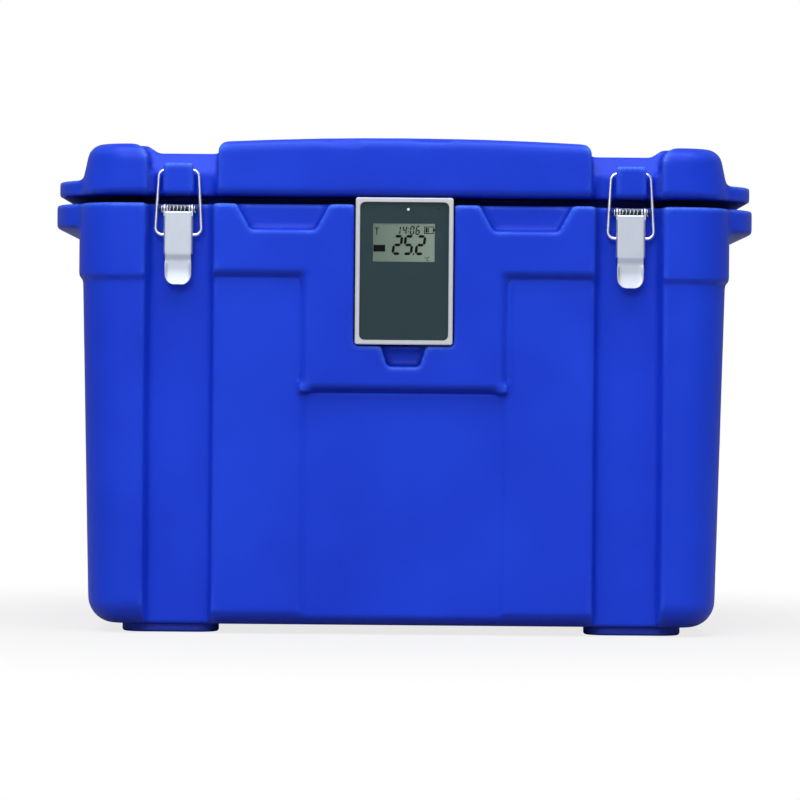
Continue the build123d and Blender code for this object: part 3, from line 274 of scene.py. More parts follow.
# Pivot pins: steel darkened as painted shade from the springs wound round them, so the springs
# stand out against them.
shaded_pin_metal = grained("dark_shaded_pin_metal", "#2c313c", "#3a404c", 0.45, 400.0, 0.01, 1.0)
# Screws and rivets: zinc plating, a little cloudy.
zinc = grained("zinc_plated_steel", "#a9adb2", "#c6cacd", 0.32, 500.0, 0.01, 1.0)
# Logger case: moulded plastic with a silver paint that glints.
silver = grained("silver_painted_abs", "#c3c5cc", "#d5d7de", 0.38, 900.0, 0.01, 0.3)
# Print behind the window: flat dark grey ink.
print_ink = grained("dark_screen_print", "#42545f", "#4a5c67", 0.4, 60.0, 0.001, 0.0, 0.2)
# Figures of the display: nearly black crystal.
liquid_crystal = grained("dark_liquid_crystal", "#060806", "#0c0f0b", 0.5, 300.0, 0.001,
                         0.0, 0.05)
# Circuit board: green solder mask with a woven grain.
board = grained("green_circuit_board", "#1c5a35", "#2c7347", 0.45, 180.0, 0.02)
# Cells: shrunk blue sleeve.
cell = grained("battery_sleeve", "#2a3a63", "#354a7c", 0.35, 150.0, 0.02)
# Signal lamp: clear lens with a faint painted white glow, so that it reads as a white dot.
lamp = grained("glowing_lamp_lens", "#e6ecf0", "#ffffff", 0.15, 400.0, 0.005)
for node in lamp.node_tree.nodes:
    if node.type == "BSDF_PRINCIPLED":
        # Painted glow: a faint white light given off by the lens.
        node.inputs["Emission Color"].default_value = colour("#f4f8ff")
        node.inputs["Emission Strength"].default_value = 0.8
# Probe sleeve: natural nylon, waxy off-white.
nylon = grained("natural_nylon", "#d8d5c9", "#e9e6db", 0.45, 300.0, 0.02)
# Vent and drain: grey polypropylene with a spark-eroded grain.
grey_plastic = grained("grey_polypropylene", "#7d8288", "#92979c", 0.45, 300.0, 0.02)

FINISHES = {
    "rotomoulded_lldpe": blue, "polyurethane_foam": foam, "silicone_gasket": gasket,
    "rubber_feet": foot_rubber, "stainless_sheet": steel, "stainless_wire": wire,
    "zinc_screws": zinc, "silver_abs": silver, "tinted_glass": smoked, "lcd_glass": display,
    "circuit_board": board, "battery_cells": cell, "lamp_lens": lamp, "probe_nylon": nylon,
    "probe_rubber": rubber, "probe_steel": wire, "grey_polypropylene": grey_plastic,
}


# ---------------------------------------------------------------- camera and light
camera = bpy.data.objects.new("camera", bpy.data.cameras.new("camera"))
scene.collection.objects.link(camera)
scene.camera = camera
DISTANCE = 3.5
camera.data.sensor_width = 36.0
camera.data.lens = 36.0 * DISTANCE / FIELD_WIDTH
camera.matrix_world = (Matrix.Translation((-0.0028, FRONT_Y - DISTANCE, 0.217))
                       @ Matrix.Rotation(math.radians(-0.5), 4, "Y")
                       @ Matrix.Rotation(math.radians(90), 4, "X"))


def softbox(name, place, aim, width, height, power, gloss=1.0):
    data = bpy.data.lights.new(name, "AREA")
    data.shape = "RECTANGLE"
    data.size, data.size_y, data.energy = width, height, power
    data.specular_factor = gloss
    panel = bpy.data.objects.new(name, data)
    scene.collection.objects.link(panel)
    panel.location = place
    panel.rotation_euler = (Vector(aim) - Vector(place)).to_track_quat("-Z", "Y").to_euler()


softbox("top_softbox", (0.0, -0.9, 2.3), (0.0, -0.1, 0.3), 2.4, 1.4, 46.0)
softbox("front_softbox", (-0.7, -4.0, 2.5), (0.0, -0.2, 0.25), 2.2, 1.4, 70.0, 0.2)

world = bpy.data.worlds.new("studio")
scene.world = world
world.use_nodes = True
tree = world.node_tree
tree.nodes.clear()
path = add(tree, "ShaderNodeLightPath")
seen = add(tree, "ShaderNodeMath", {0: path.outputs["Is Camera Ray"],
           1: path.outputs["Is Transmission Ray"]}, operation="MAXIMUM")
glow = add(tree, "ShaderNodeBackground", {"Color": (1, 1, 1, 1), "Strength": 0.30})
white = add(tree, "ShaderNodeBackground", {"Color": (1, 1, 1, 1), "Strength": 1.0})
mixed = add(tree, "ShaderNodeMixShader", {0: seen.outputs[0], 1: glow.outputs[0],
            2: white.outputs[0]})
add(tree, "ShaderNodeOutputWorld", {"Surface": mixed.outputs[0]})

floor_mesh = bpy.data.meshes.new("floor")
floor_mesh.from_pydata([(-6, -6, 0), (6, -6, 0), (6, 6, 0), (-6, 6, 0)], [], [(0, 1, 2, 3)])
floor = link_object("floor", floor_mesh)
# White studio paper: it keeps the box's shadow close by and fades to plain white.
paper, tree, out, place = new_material("white_paper_floor")
fibre = add(tree, "ShaderNodeTexNoise", {"Vector": place, "Scale": 40.0})
tone = add(tree, "ShaderNodeMix", {"Factor": fibre.outputs["Fac"], "A": colour("#c4c4c4"),
           "B": colour("#cccccc")}, data_type="RGBA")
diffuse = add(tree, "ShaderNodeBsdfPrincipled", {"Roughness": 0.9,
              "Base Color": tone.outputs["Result"]})
light = add(tree, "ShaderNodeEmission", {"Color": (1, 1, 1, 1), "Strength": 1.0})
away = add(tree, "ShaderNodeVectorMath", {0: place}, operation="LENGTH")
fade = add(tree, "ShaderNodeMapRange", {"Value": away.outputs["Value"], "From Min": 0.3,
           "From Max": 0.9, "To Min": 0.78, "To Max": 1.0}, interpolation_type="SMOOTHSTEP")
path = add(tree, "ShaderNodeLightPath")
share = add(tree, "ShaderNodeMath", {0: path.outputs["Is Camera Ray"], 1: fade.outputs[0]},
            operation="MULTIPLY")
blend = add(tree, "ShaderNodeMixShader", {0: share.outputs[0], 1: diffuse.outputs[0],
            2: light.outputs[0]})
tree.links.new(blend.outputs[0], out.inputs[0])
floor_mesh.materials.append(paper)


# ---------------------------------------------------------------- moulded shells
BEND_ROUNDS = 3                 # how often the bend is evened out over the neighbours
BEND_GAIN = 9.0
BEND_FLOOR = 0.25


def merged_copy(node):
    """A copy of a node's mesh with its loose triangles joined."""
    mesh = NODES[node].data.copy()
    shape = bmesh.new()
    shape.from_mesh(mesh)
    bmesh.ops.remove_doubles(shape, verts=shape.verts, dist=JOIN_GAP)
    shape.to_mesh(mesh)
    shape.free()
    return mesh


def add_bar(mesh, start, end, radius):
    """A closed round bar added to a mesh, to stop a bore before the skin is soft."""
    shape = bmesh.new()
    shape.from_mesh(mesh)
    start, end = Vector(start), Vector(end)
    turn = (end - start).to_track_quat("Z", "Y").to_matrix().to_4x4()
    place = Matrix.Translation((start + end) / 2) @ turn
    bmesh.ops.create_cone(shape, cap_ends=True, segments=32, radius1=radius, radius2=radius,
                          depth=(end - start).length, matrix=place)
    shape.to_mesh(mesh)
    shape.free()


def mark_edges(mesh):
    """Writes how far each point stands out ("edge") or lies in a hollow ("crease")."""
    shape = bmesh.new()
    shape.from_mesh(mesh)
    shape.normal_update()
    bend = []
    for v in shape.verts:
        steps = [e.other_vert(v).co - v.co for e in v.link_edges]
        bend.append(-sum(v.normal.dot(step.normalized()) for step in steps) / max(1, len(steps)))
    for _ in range(BEND_ROUNDS):
        bend = [(2 * bend[v.index] + sum(bend[e.other_vert(v).index] for e in v.link_edges))
                / (2 + len(v.link_edges)) for v in shape.verts]
    shape.free()
    # The edge share drives the blue's painted highlight, and the crease share its painted shade.
    for name, sign in (("edge", 1), ("crease", -1)):
        share = [max(0.0, min(1.0, BEND_GAIN * sign * value - BEND_FLOOR)) for value in bend]
        mesh.attributes.new(name, "FLOAT", "POINT").data.foreach_set("value", share)


def joined_outside(nodes):
    """One mesh of several nodes that touch, without the faces where they meet."""
    copies = []
    for node in nodes:
        shape = bmesh.new()
        shape.from_mesh(merged_copy(node))
        bmesh.ops.triangulate(shape, faces=shape.faces)
        copies.append(shape)
    trees = [BVHTree.FromBMesh(shape) for shape in copies]
    meeting = []
    for i, shape in enumerate(copies):
        inside = []
        for face in shape.faces:
            centre = face.calc_center_median()
            for k, other in enumerate(trees):
                if k != i:
                    spot, normal, _, gap = other.find_nearest(centre, 0.0001)
                    if spot is not None and normal.dot(face.normal) < -0.98:
                        inside.append(face)
                        break
        meeting.append(inside)
    whole = bmesh.new()
    for shape, inside in zip(copies, meeting):
        bmesh.ops.delete(shape, geom=inside, context="FACES")
        whole.from_mesh(mesh_of("part", shape))
    bmesh.ops.remove_doubles(whole, verts=whole.verts, dist=JOIN_GAP)
    return mesh_of("outside", whole)


VOXEL = 0.0022                  # grain of the remeshed skins
SMOOTH_ROUNDS = 8
BAND_FOOT = 0.329               # lower edge of the T panel's bar
BAND_HALF = 0.176               # where the bar's slant stops, short of the latch channels
STEM_HALF, STEM_FOOT = 0.095, 0.223
STEM_CORNER = 0.0045            # rounding of the stem's lower corners
SIDE_SETBACK, LOW_SETBACK = 0.006, 0.009
LOW_TOP, LOW_RISE = 0.236, 0.008    # the setback grows to the low one from here down
CORNER_AREA = 0.010             # how near its corner the stem is drawn back less,
CORNER_DRAW = 0.0008            # by this at most, so that the foam stays covered
SLANT = 0.0055                  # how far a lower edge slants, upwards
AREA_MARGIN = 0.002
CHANNEL_INNER, CHANNEL_OUTER = 0.181, 0.234
LID_FOOT, LID_MARGIN = 0.404, 0.001
LID_FRONT_Y = -0.186            # only what lies in front of this is slanted
LID_SETBACK = 0.0035


def slant_front(x, y, z):
    """The T panel's lower edges as soft slants, with its stem's corners rounded."""
    x = np.abs(x)
    across, down = x - STEM_HALF + STEM_CORNER, STEM_FOOT + STEM_CORNER - z
    stem = (STEM_CORNER - np.hypot(np.maximum(across, 0), np.maximum(down, 0))
            - np.minimum(np.maximum(across, down), 0))
    inside = np.maximum(stem, z - BAND_FOOT)
    setback = SIDE_SETBACK + (LOW_SETBACK - SIDE_SETBACK) * np.clip(
        (LOW_TOP - z) / LOW_RISE, 0, 1)
    draw = setback * (1 - np.clip(inside / SLANT, 0, 1))
    corner = (x > STEM_HALF - CORNER_AREA) & (z < STEM_FOOT + CORNER_AREA)
    level = FRONT_Y + np.where(corner, np.minimum(draw, CORNER_DRAW), draw)
    stem_area = (x < STEM_HALF + AREA_MARGIN) & (z > STEM_FOOT - AREA_MARGIN)
    bar_area = (x < BAND_HALF) & (z > BAND_FOOT - AREA_MARGIN)
    return np.where((stem_area | bar_area) & (y < level), level, y)


def slant_lid(x, y, z):
    """The lid's lower front edge drawn in as a soft slant, clear of the latch hooks."""
    x = np.abs(x)
    clear = (x < CHANNEL_INNER) | (x > CHANNEL_OUTER)
    area = (y < LID_FRONT_Y) & (z > LID_FOOT - LID_MARGIN) & clear
    draw = LID_SETBACK * np.clip((LID_FOOT + SLANT - z) / SLANT, 0, 1)
    return np.where(area, y + draw, y)


def soft_skin(name, nodes, body, share, slant, bars=()):
    """A moulded skin: the nodes' joined outside with every edge drawn soft; share is the
    part of its faces that is kept, and each bar is its start, end and radius."""
    mesh = joined_outside(nodes)
    for bar in bars:
        add_bar(mesh, *bar)
    piece = link_object(name, mesh)
    remesh = piece.modifiers.new("remesh", "REMESH")
    remesh.mode, remesh.voxel_size, remesh.adaptivity = "VOXEL", VOXEL, 0.0
    finished(piece)
    spots = np.empty(len(piece.data.vertices) * 3)
    piece.data.vertices.foreach_get("co", spots)
    spots = spots.reshape(-1, 3)
    spots[:, 1] = slant(spots[:, 0], spots[:, 1], spots[:, 2])
    piece.data.vertices.foreach_set("co", spots.ravel())
    smooth = piece.modifiers.new("smooth", "SMOOTH")
    smooth.factor, smooth.iterations = 0.5, SMOOTH_ROUNDS
    thin = piece.modifiers.new("thin", "DECIMATE")
    thin.ratio = share
    finished(piece)
    shade(piece.data)
    mark_edges(piece.data)
    piece.data.materials.clear()
    piece.data.materials.append(blue)
    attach(piece, body)
    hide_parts(*nodes)


soft_skin("base_skin", ["base_shell", "base_liner", "liner_floor", "bay_frame", "front_panel",
                        "channel_panel_left", "channel_panel_right",
                        "corner_pillar_left", "corner_pillar_right"],
          "base", 0.19, slant_front,
          [((0, -0.178, 0.330), (0, -0.160, 0.330), 0.009),
           ((-0.285, 0, 0.080), (-0.245, 0, 0.080), 0.0115),
           ((-0.290, -0.040, 0.225), (-0.280, -0.040, 0.225), 0.009)])
soft_skin("lid_skin", ["lid_shell", "lid_pan"], "lid", 0.4, slant_lid)


# ---------------------------------------------------------------- fasteners
def node_group(name, inputs):
    """A geometry tree with named inputs, and its input and output nodes."""
    tree = bpy.data.node_groups.new(name, "GeometryNodeTree")
    tree.interface.new_socket("Geometry", in_out="INPUT", socket_type="NodeSocketGeometry")
    for label, kind, default in inputs:
        socket = tree.interface.new_socket(label, in_out="INPUT", socket_type=kind)
        if default is not None:
            socket.default_value = default
    tree.interface.new_socket("Geometry", in_out="OUTPUT", socket_type="NodeSocketGeometry")
    return tree, add(tree, "NodeGroupInput").outputs, add(tree, "NodeGroupOutput")


def grown(name, mesh, tree, values):
    """A plain mesh piece from a geometry tree run on a mesh."""
    piece = link_object(name, mesh)
    modifier = piece.modifiers.new("grow", "NODES")
    modifier.node_group = tree
    for item in tree.interface.items_tree:
        if item.in_out == "INPUT" and item.name in values:
            modifier[item.identifier] = values[item.name]
    return finished(piece)


def fastener_tree():
    """Domed heads on shanks at every point of a mesh, with an optional cross recess."""
    tree, given, out = node_group("fasteners", [
        ("Head Radius", "NodeSocketFloat", 0.004), ("Head Height", "NodeSocketFloat", 0.002),
        ("Shank Radius", "NodeSocketFloat", 0.002), ("Shank Length", "NodeSocketFloat", 0.008),
        ("Recess Width", "NodeSocketFloat", 0.0009), ("Outwards", "NodeSocketVector", None),
        ("Seed", "NodeSocketInt", 7), ("Finish", "NodeSocketMaterial", None)])
    ball = add(tree, "GeometryNodeMeshUVSphere", {"Segments": 28, "Rings": 12,
               "Radius": given["Head Radius"]})
    flat = add(tree, "ShaderNodeMath", {0: given["Head Height"], 1: given["Head Radius"]},
               operation="DIVIDE")
    size = add(tree, "ShaderNodeCombineXYZ", {"X": 1.0, "Y": 1.0, "Z": flat.outputs[0]})
    dome = add(tree, "GeometryNodeTransform", {"Geometry": ball.outputs["Mesh"],
               "Scale": size.outputs[0]})
    reach = add(tree, "ShaderNodeMath", {0: given["Head Radius"], 1: 1.25}, operation="MULTIPLY")
    deep = add(tree, "ShaderNodeMath", {0: given["Head Height"], 1: 1.1}, operation="MULTIPLY")
    lift = add(tree, "ShaderNodeCombineXYZ", {"Z": given["Head Height"]})
    bars = []
    for along in ("X", "Y"):
        across = "Y" if along == "X" else "X"
        shape = add(tree, "ShaderNodeCombineXYZ", {along: reach.outputs[0],
                    across: given["Recess Width"], "Z": deep.outputs[0]})
        cube = add(tree, "GeometryNodeMeshCube", {"Size": shape.outputs[0]})
        bars.append(add(tree, "GeometryNodeTransform", {"Geometry": cube.outputs["Mesh"],
                        "Translation": lift.outputs[0]}))
    cut = add(tree, "GeometryNodeMeshBoolean", {"Mesh 1": dome.outputs[0]},
              operation="DIFFERENCE")
    for bar in bars:
        tree.links.new(bar.outputs[0], cut.inputs["Mesh 2"])
    crossed = add(tree, "FunctionNodeCompare", {"A": given["Recess Width"], "B": 0.0001},
                  data_type="FLOAT", operation="GREATER_THAN")
    head = add(tree, "GeometryNodeSwitch", {"Switch": crossed.outputs[0],
               "False": dome.outputs[0], "True": cut.outputs[0]}, input_type="GEOMETRY")
    shank = add(tree, "GeometryNodeMeshCylinder", {"Vertices": 24,
                "Radius": given["Shank Radius"], "Depth": given["Shank Length"]})
    half = add(tree, "ShaderNodeMath", {0: given["Shank Length"], 1: -0.5},
               operation="MULTIPLY")
    down = add(tree, "ShaderNodeCombineXYZ", {"Z": half.outputs[0]})
    under = add(tree, "GeometryNodeTransform", {"Geometry": shank.outputs["Mesh"],
                "Translation": down.outputs[0]})
    whole = add(tree, "GeometryNodeJoinGeometry")
    tree.links.new(head.outputs[0], whole.inputs[0])
    tree.links.new(under.outputs[0], whole.inputs[0])
    aim = add(tree, "FunctionNodeAlignRotationToVector", {"Vector": given["Outwards"]},
              axis="Z")
    spin = add(tree, "FunctionNodeRandomValue", {"Min": (0.0, 0.0, 0.0),
               "Max": (0.0, 0.0, 1.5), "Seed": given["Seed"]}, data_type="FLOAT_VECTOR")
    turn = add(tree, "FunctionNodeEulerToRotation", {"Euler": spin.outputs[0]})
    both = add(tree, "FunctionNodeRotateRotation", {"Rotation": aim.outputs[0],
               "Rotate By": turn.outputs[0]}, rotation_space="LOCAL")
    spots = add(tree, "GeometryNodeMeshToPoints", {"Mesh": given["Geometry"]})
    placed = add(tree, "GeometryNodeInstanceOnPoints", {"Points": spots.outputs[0],
                 "Instance": whole.outputs[0], "Rotation": both.outputs[0]})
    real = add(tree, "GeometryNodeRealizeInstances", {"Geometry": placed.outputs[0]})
    smooth = add(tree, "GeometryNodeSetShadeSmooth", {"Geometry": real.outputs[0]})
    coat = add(tree, "GeometryNodeSetMaterial", {"Geometry": smooth.outputs[0],
               "Material": given["Finish"]})
    tree.links.new(coat.outputs[0], out.inputs[0])
    return tree


def solids_of(node):
    """The lowest and highest corner of each separate solid of a node."""
    shape = bmesh.new()
    shape.from_mesh(NODES[node].data)
    bmesh.ops.remove_doubles(shape, verts=shape.verts, dist=JOIN_GAP)
    left, boxes = set(shape.verts), []
    while left:
        reached, found = [left.pop()], []
        while reached:
            v = reached.pop()
            found.append(v.co.copy())
            for e in v.link_edges:
                other = e.other_vert(v)
                if other in left:
                    left.remove(other)
                    reached.append(other)
        boxes.append((Vector([min(c[i] for c in found) for i in range(3)]),
                      Vector([max(c[i] for c in found) for i in range(3)])))
    shape.free()
    return boxes


FASTENERS = fastener_tree()


def fasteners(name, node, body, outwards, head, shank, recess, finish):
    """Fasteners seated where the node's own are; head and shank are (radius, height)."""
    axis = max(range(3), key=lambda i: abs(outwards[i]))
    spots = []
    for low, high in solids_of(node):
        seat = (low + high) / 2
        seat[axis] = high[axis] - head[1] if outwards[axis] > 0 else low[axis] + head[1]
        spots.append(seat)
    mesh = bpy.data.meshes.new(name)
    mesh.from_pydata(spots, [], [])
    piece = grown(name, mesh, FASTENERS, {
        "Head Radius": head[0], "Head Height": head[1], "Shank Radius": shank[0],
        "Shank Length": shank[1], "Recess Width": recess, "Outwards": outwards,
        "Finish": finish})
    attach(piece, body)
    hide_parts(node)


for name, node, body in (("hinge_screws_lower", "hinge_lower_screws", "base"),
                         ("hinge_screws_upper", "hinge_upper_screws", "lid")):
    fasteners(name, node, body, (0, 1, 0),
              (0.004, 0.0022), (0.002, 0.0095), 0.001, zinc)
fasteners("pad_screws", "foot_screws", "base", (0, 0, -1),
          (0.004, 0.0022), (0.002, 0.009), 0.001, zinc)
fasteners("plate_rivets", "latch_rivets", "base", (0, -1, 0),
          (0.0032, 0.0014), (0.002, 0.007), 0.0, zinc)
fasteners("cover_screws", "logger_cover_screws", "logger", (0, 1, 0),
          (0.0026, 0.001), (0.0013, 0.0075), 0.0007, zinc)


# ---------------------------------------------------------------- latches
ARC_STEPS = 8                   # steps in each rounded corner of a wire


def rounded_path(corners, radius):
    """Points of a closed path with its corners turned on arcs."""
    points = []
    count = len(corners)
    for i in range(count):
        here = Vector(corners[i])
        before = (Vector(corners[i - 1]) - here).normalized()
        after = (Vector(corners[(i + 1) % count]) - here).normalized()
        angle = before.angle(after)
        back = radius / math.tan(angle / 2)
        centre = here + (before + after).normalized() * (radius / math.sin(angle / 2))
        start = here + before * back - centre
        end = here + after * back - centre
        sweep = start.angle(end)
        normal = start.cross(end).normalized()
        for k in range(ARC_STEPS + 1):
            points.append(centre + Matrix.Rotation(sweep * k / ARC_STEPS, 3, normal) @ start)
    return points


def wire_loop(name, points, radius, finish, body, node):
    """A closed wire through points, as a plain mesh that replaces a node."""
    curve = bpy.data.curves.new(name, "CURVE")
    curve.dimensions, curve.bevel_depth, curve.bevel_resolution = "3D", radius, 3
    line = curve.splines.new("POLY")
    line.points.add(len(points) - 1)
    for point, place in zip(line.points, points):
        point.co = (*place, 1.0)
    line.use_cyclic_u = True
    form = bpy.data.objects.new(name + "_form", curve)
    scene.collection.objects.link(form)
    graph = bpy.context.evaluated_depsgraph_get()
    mesh = bpy.data.meshes.new_from_object(form.evaluated_get(graph))
    bpy.data.objects.remove(form)
    shade(mesh)
    mesh.materials.clear()
    mesh.materials.append(finish)
    piece = link_object(name, mesh)
    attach(piece, body)
    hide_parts(node)


BAIL_TOP_HALF = 0.0182          # half the wire loop's width at the hook
BAIL_WIRE = 0.0015              # radius of the loop's wire
BAIL_CORNER = 0.0062
BAIL_ROD_Y, BAIL_TOP_Y = -0.1965, -0.1932   # the loop at the lever and at the hook
LEVER_OUT = 0.0133              # the lever's face in front of the channel floor
LEVER_SHEET = 0.0016
PIVOT_Z, PIVOT_OUT = 0.392, 0.009
JOGGLE_TOP, JOGGLE_FOOT = 0.350, 0.3445
JOGGLE_FALL = 0.0055            # height over which the face steps back
JOGGLE_STEP = 0.0024            # how far it steps back
FLARE_TOP, FLARE_FALL = 0.336, 0.014
FLARE = 0.0016                  # how far the tab's tip turns out again
DISH, DISH_RUN = 0.0011, 0.004  # depth of the tab's dish and how soon it is reached
TIP_Z, TIP_RADIUS = 0.322, 0.009
COVER_HALF, TAB_HALF = 0.0113, 0.0121
EAR_RADIUS, EAR_SHEET = 0.0043, 0.0015


def lever_profile(z):
    """How far the lever's face stands out at a height, and how deep its dish is there."""
    if z > JOGGLE_TOP:
        return LEVER_OUT, 0.0
    if z > JOGGLE_FOOT:
        t = (JOGGLE_TOP - z) / JOGGLE_FALL
        return LEVER_OUT - JOGGLE_STEP * (3 * t * t - 2 * t ** 3), 0.0
    if z > FLARE_TOP:
        return LEVER_OUT - JOGGLE_STEP, DISH * min(1.0, (JOGGLE_FOOT - z) / DISH_RUN)
    t = (FLARE_TOP - z) / FLARE_FALL
    return LEVER_OUT - JOGGLE_STEP + FLARE * t ** 1.4, DISH * (1 - t)


def lever(side, x):
    """The pressed lever: a channel-section cover, a joggle and a dished finger tab."""
    bend, half = 0.0022, 0.0135
    across = [(-half, 0.0050), (-half, 0.0080), (-half, LEVER_OUT - bend)]
    across += [(-half + bend - bend * math.cos(a), LEVER_OUT - bend + bend * math.sin(a))
               for a in (math.radians(v) for v in (18, 36, 54, 72))]
    sheet = []
    heights = [0.3892, 0.3880, 0.380, 0.370, 0.360, 0.352, 0.3502]
    heights += [0.3496, 0.349, 0.348, 0.347, 0.346, 0.345, 0.3435, 0.342, 0.340, 0.338, 0.3365,
                0.335, 0.333, 0.331, 0.329, 0.327, 0.3255, 0.324, 0.323, 0.3224, 0.322]
    shares = [-1, -0.93, -0.85, -0.72, -0.4, 0, 0.4, 0.72, 0.85, 0.93, 1]
    shape = bmesh.new()
    rows = []
    for z in heights:
        out, dish = lever_profile(z)
        cover = z > JOGGLE_TOP + 0.0001
        tip = z - TIP_Z
        reach = COVER_HALF if cover else TAB_HALF
        if tip < TIP_RADIUS:
            reach = TAB_HALF - TIP_RADIUS + math.sqrt(
                max(0.0, TIP_RADIUS ** 2 - (TIP_RADIUS - tip) ** 2))
        row = []
        if cover:
            row += [shape.verts.new((x + a, CHANNEL_FLOOR_Y - o, z)) for a, o in across]
        else:
            row += [None] * len(across)
        for s in shares:
            rim = max(0.0, (abs(s) - 0.80) / 0.20)
            lip = dish * rim * rim * (3 - 2 * rim)
            row.append(shape.verts.new((x + s * reach, CHANNEL_FLOOR_Y - out - lip, z)))
        if cover:
            row += [shape.verts.new((x - a, CHANNEL_FLOOR_Y - o, z))
                    for a, o in reversed(across)]
        else:
            row += [None] * len(across)
        rows.append(row)
    for above, below in zip(rows, rows[1:]):
        for i in range(len(above) - 1):
            quad = (above[i], below[i], below[i + 1], above[i + 1])
            if None not in quad:
                shape.faces.new(quad)
    mesh = mesh_of("lever_sheet", shape)
    mesh.materials.append(steel)
    shade(mesh)
    piece = link_object(f"lever_{side}", mesh)
    wall = piece.modifiers.new("wall", "SOLIDIFY")
    wall.thickness, wall.offset = LEVER_SHEET, -1.0
    finished(piece)
    ears = bmesh.new()
    ears.from_mesh(piece.data)
    for s in (-1, 1):
        ring = [(PIVOT_OUT + EAR_RADIUS * math.cos(a), PIVOT_Z + EAR_RADIUS * math.sin(a))
                for a in (math.radians(v) for v in range(-25, 206, 11))]
        ring += [(0.0050, 0.3850), (0.0130, 0.3850)]
        x0 = x + s * half
        x1 = x + s * (half - EAR_SHEET)
        outer = [ears.verts.new((x0, CHANNEL_FLOOR_Y - o, z)) for o, z in ring]
        inner = [ears.verts.new((x1, CHANNEL_FLOOR_Y - o, z)) for o, z in ring]
        faces = [ears.faces.new(outer), ears.faces.new(list(reversed(inner)))]
        for i in range(len(ring)):
            j = (i + 1) % len(ring)
            faces.append(ears.faces.new((outer[j], outer[i], inner[i], inner[j])))
        bmesh.ops.recalc_face_normals(ears, faces=faces)
    ears.to_mesh(piece.data)
    ears.free()
    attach(piece, f"{side}_lever")
    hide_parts(f"latch_lever_{side}")


def coil_tree():
    """A round-wire coil wound on the first point of a mesh, along X."""
    tree, given, out = node_group("coil", [
        ("Coil Radius", "NodeSocketFloat", 0.003), ("Wire Radius", "NodeSocketFloat", 0.0004),
        ("Length", "NodeSocketFloat", 0.01), ("Turns", "NodeSocketFloat", 6.0),
        ("Finish", "NodeSocketMaterial", None)])
    helix = add(tree, "GeometryNodeCurveSpiral", {"Resolution": 18,
                "Rotations": given["Turns"], "Start Radius": given["Coil Radius"],
                "End Radius": given["Coil Radius"], "Height": given["Length"]})
    half = add(tree, "ShaderNodeMath", {0: given["Length"], 1: -0.5}, operation="MULTIPLY")
    back = add(tree, "ShaderNodeCombineXYZ", {"Z": half.outputs[0]})
    middle = add(tree, "GeometryNodeTransform", {"Geometry": helix.outputs[0],
                 "Translation": back.outputs[0]})
    lying = add(tree, "GeometryNodeTransform", {"Geometry": middle.outputs[0],
                "Rotation": (0.0, math.radians(90), 0.0)})
    ring = add(tree, "GeometryNodeCurvePrimitiveCircle", {"Resolution": 8,
               "Radius": given["Wire Radius"]})
    wound = add(tree, "GeometryNodeCurveToMesh", {"Curve": lying.outputs[0],
                "Profile Curve": ring.outputs[0], "Fill Caps": True})
    spots = add(tree, "GeometryNodeMeshToPoints", {"Mesh": given["Geometry"]})
    placed = add(tree, "GeometryNodeInstanceOnPoints", {"Points": spots.outputs[0],
                 "Instance": wound.outputs[0]})
    real = add(tree, "GeometryNodeRealizeInstances", {"Geometry": placed.outputs[0]})
    smooth = add(tree, "GeometryNodeSetShadeSmooth", {"Geometry": real.outputs[0]})
    coat = add(tree, "GeometryNodeSetMaterial", {"Geometry": smooth.outputs[0],
               "Material": given["Finish"]})
    tree.links.new(coat.outputs[0], out.inputs[0])
    return tree


COIL = coil_tree()
COIL_RADIUS, COIL_WIRE = 0.0030, 0.0005
COIL_PITCH, COIL_ENDS = 0.0034, 0.0012


def spring(side, node):
    """The lever's spring: one coil between the plate's ears and one outside each."""
    parts = bmesh.new()
    for i, (low, high) in enumerate(solids_of(node)):
        length = high.x - low.x
        mesh = bpy.data.meshes.new("spot")
        mesh.from_pydata([(low + high) / 2], [], [])
        coil = grown(f"coil_{i}", mesh, COIL, {
            "Coil Radius": COIL_RADIUS, "Wire Radius": COIL_WIRE, "Length": length - COIL_ENDS,
            "Turns": float(max(1, round(length / COIL_PITCH))), "Finish": wire})
        parts.from_mesh(coil.data)
        bpy.data.objects.remove(coil)
    mesh = mesh_of(f"spring_{side}", parts)
    mesh.materials.append(wire)
    shade(mesh)
    piece = link_object(f"spring_{side}", mesh)
    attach(piece, "base")
    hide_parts(node)


for side in ("left", "right"):
    low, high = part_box(f"latch_lever_{side}")
    middle = (low.x + high.x) / 2
    low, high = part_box(f"latch_bail_{side}")
    foot_half = (high.x - low.x) / 2 - BAIL_WIRE
    foot_z, top_z = low.z + BAIL_WIRE, high.z - BAIL_WIRE
    corners = [(middle - foot_half, BAIL_ROD_Y, foot_z), (middle + foot_half, BAIL_ROD_Y, foot_z),
               (middle + BAIL_TOP_HALF, BAIL_TOP_Y, top_z),
               (middle - BAIL_TOP_HALF, BAIL_TOP_Y, top_z)]
    wire_loop(f"bail_{side}", rounded_path(corners, BAIL_CORNER), BAIL_WIRE, wire,
              f"{side}_bail", f"latch_bail_{side}")
    lever(side, middle)
    spring(side, f"latch_spring_{side}")


# ---------------------------------------------------------------- logger
LCD_LOW, LCD_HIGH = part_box("logger_lcd")


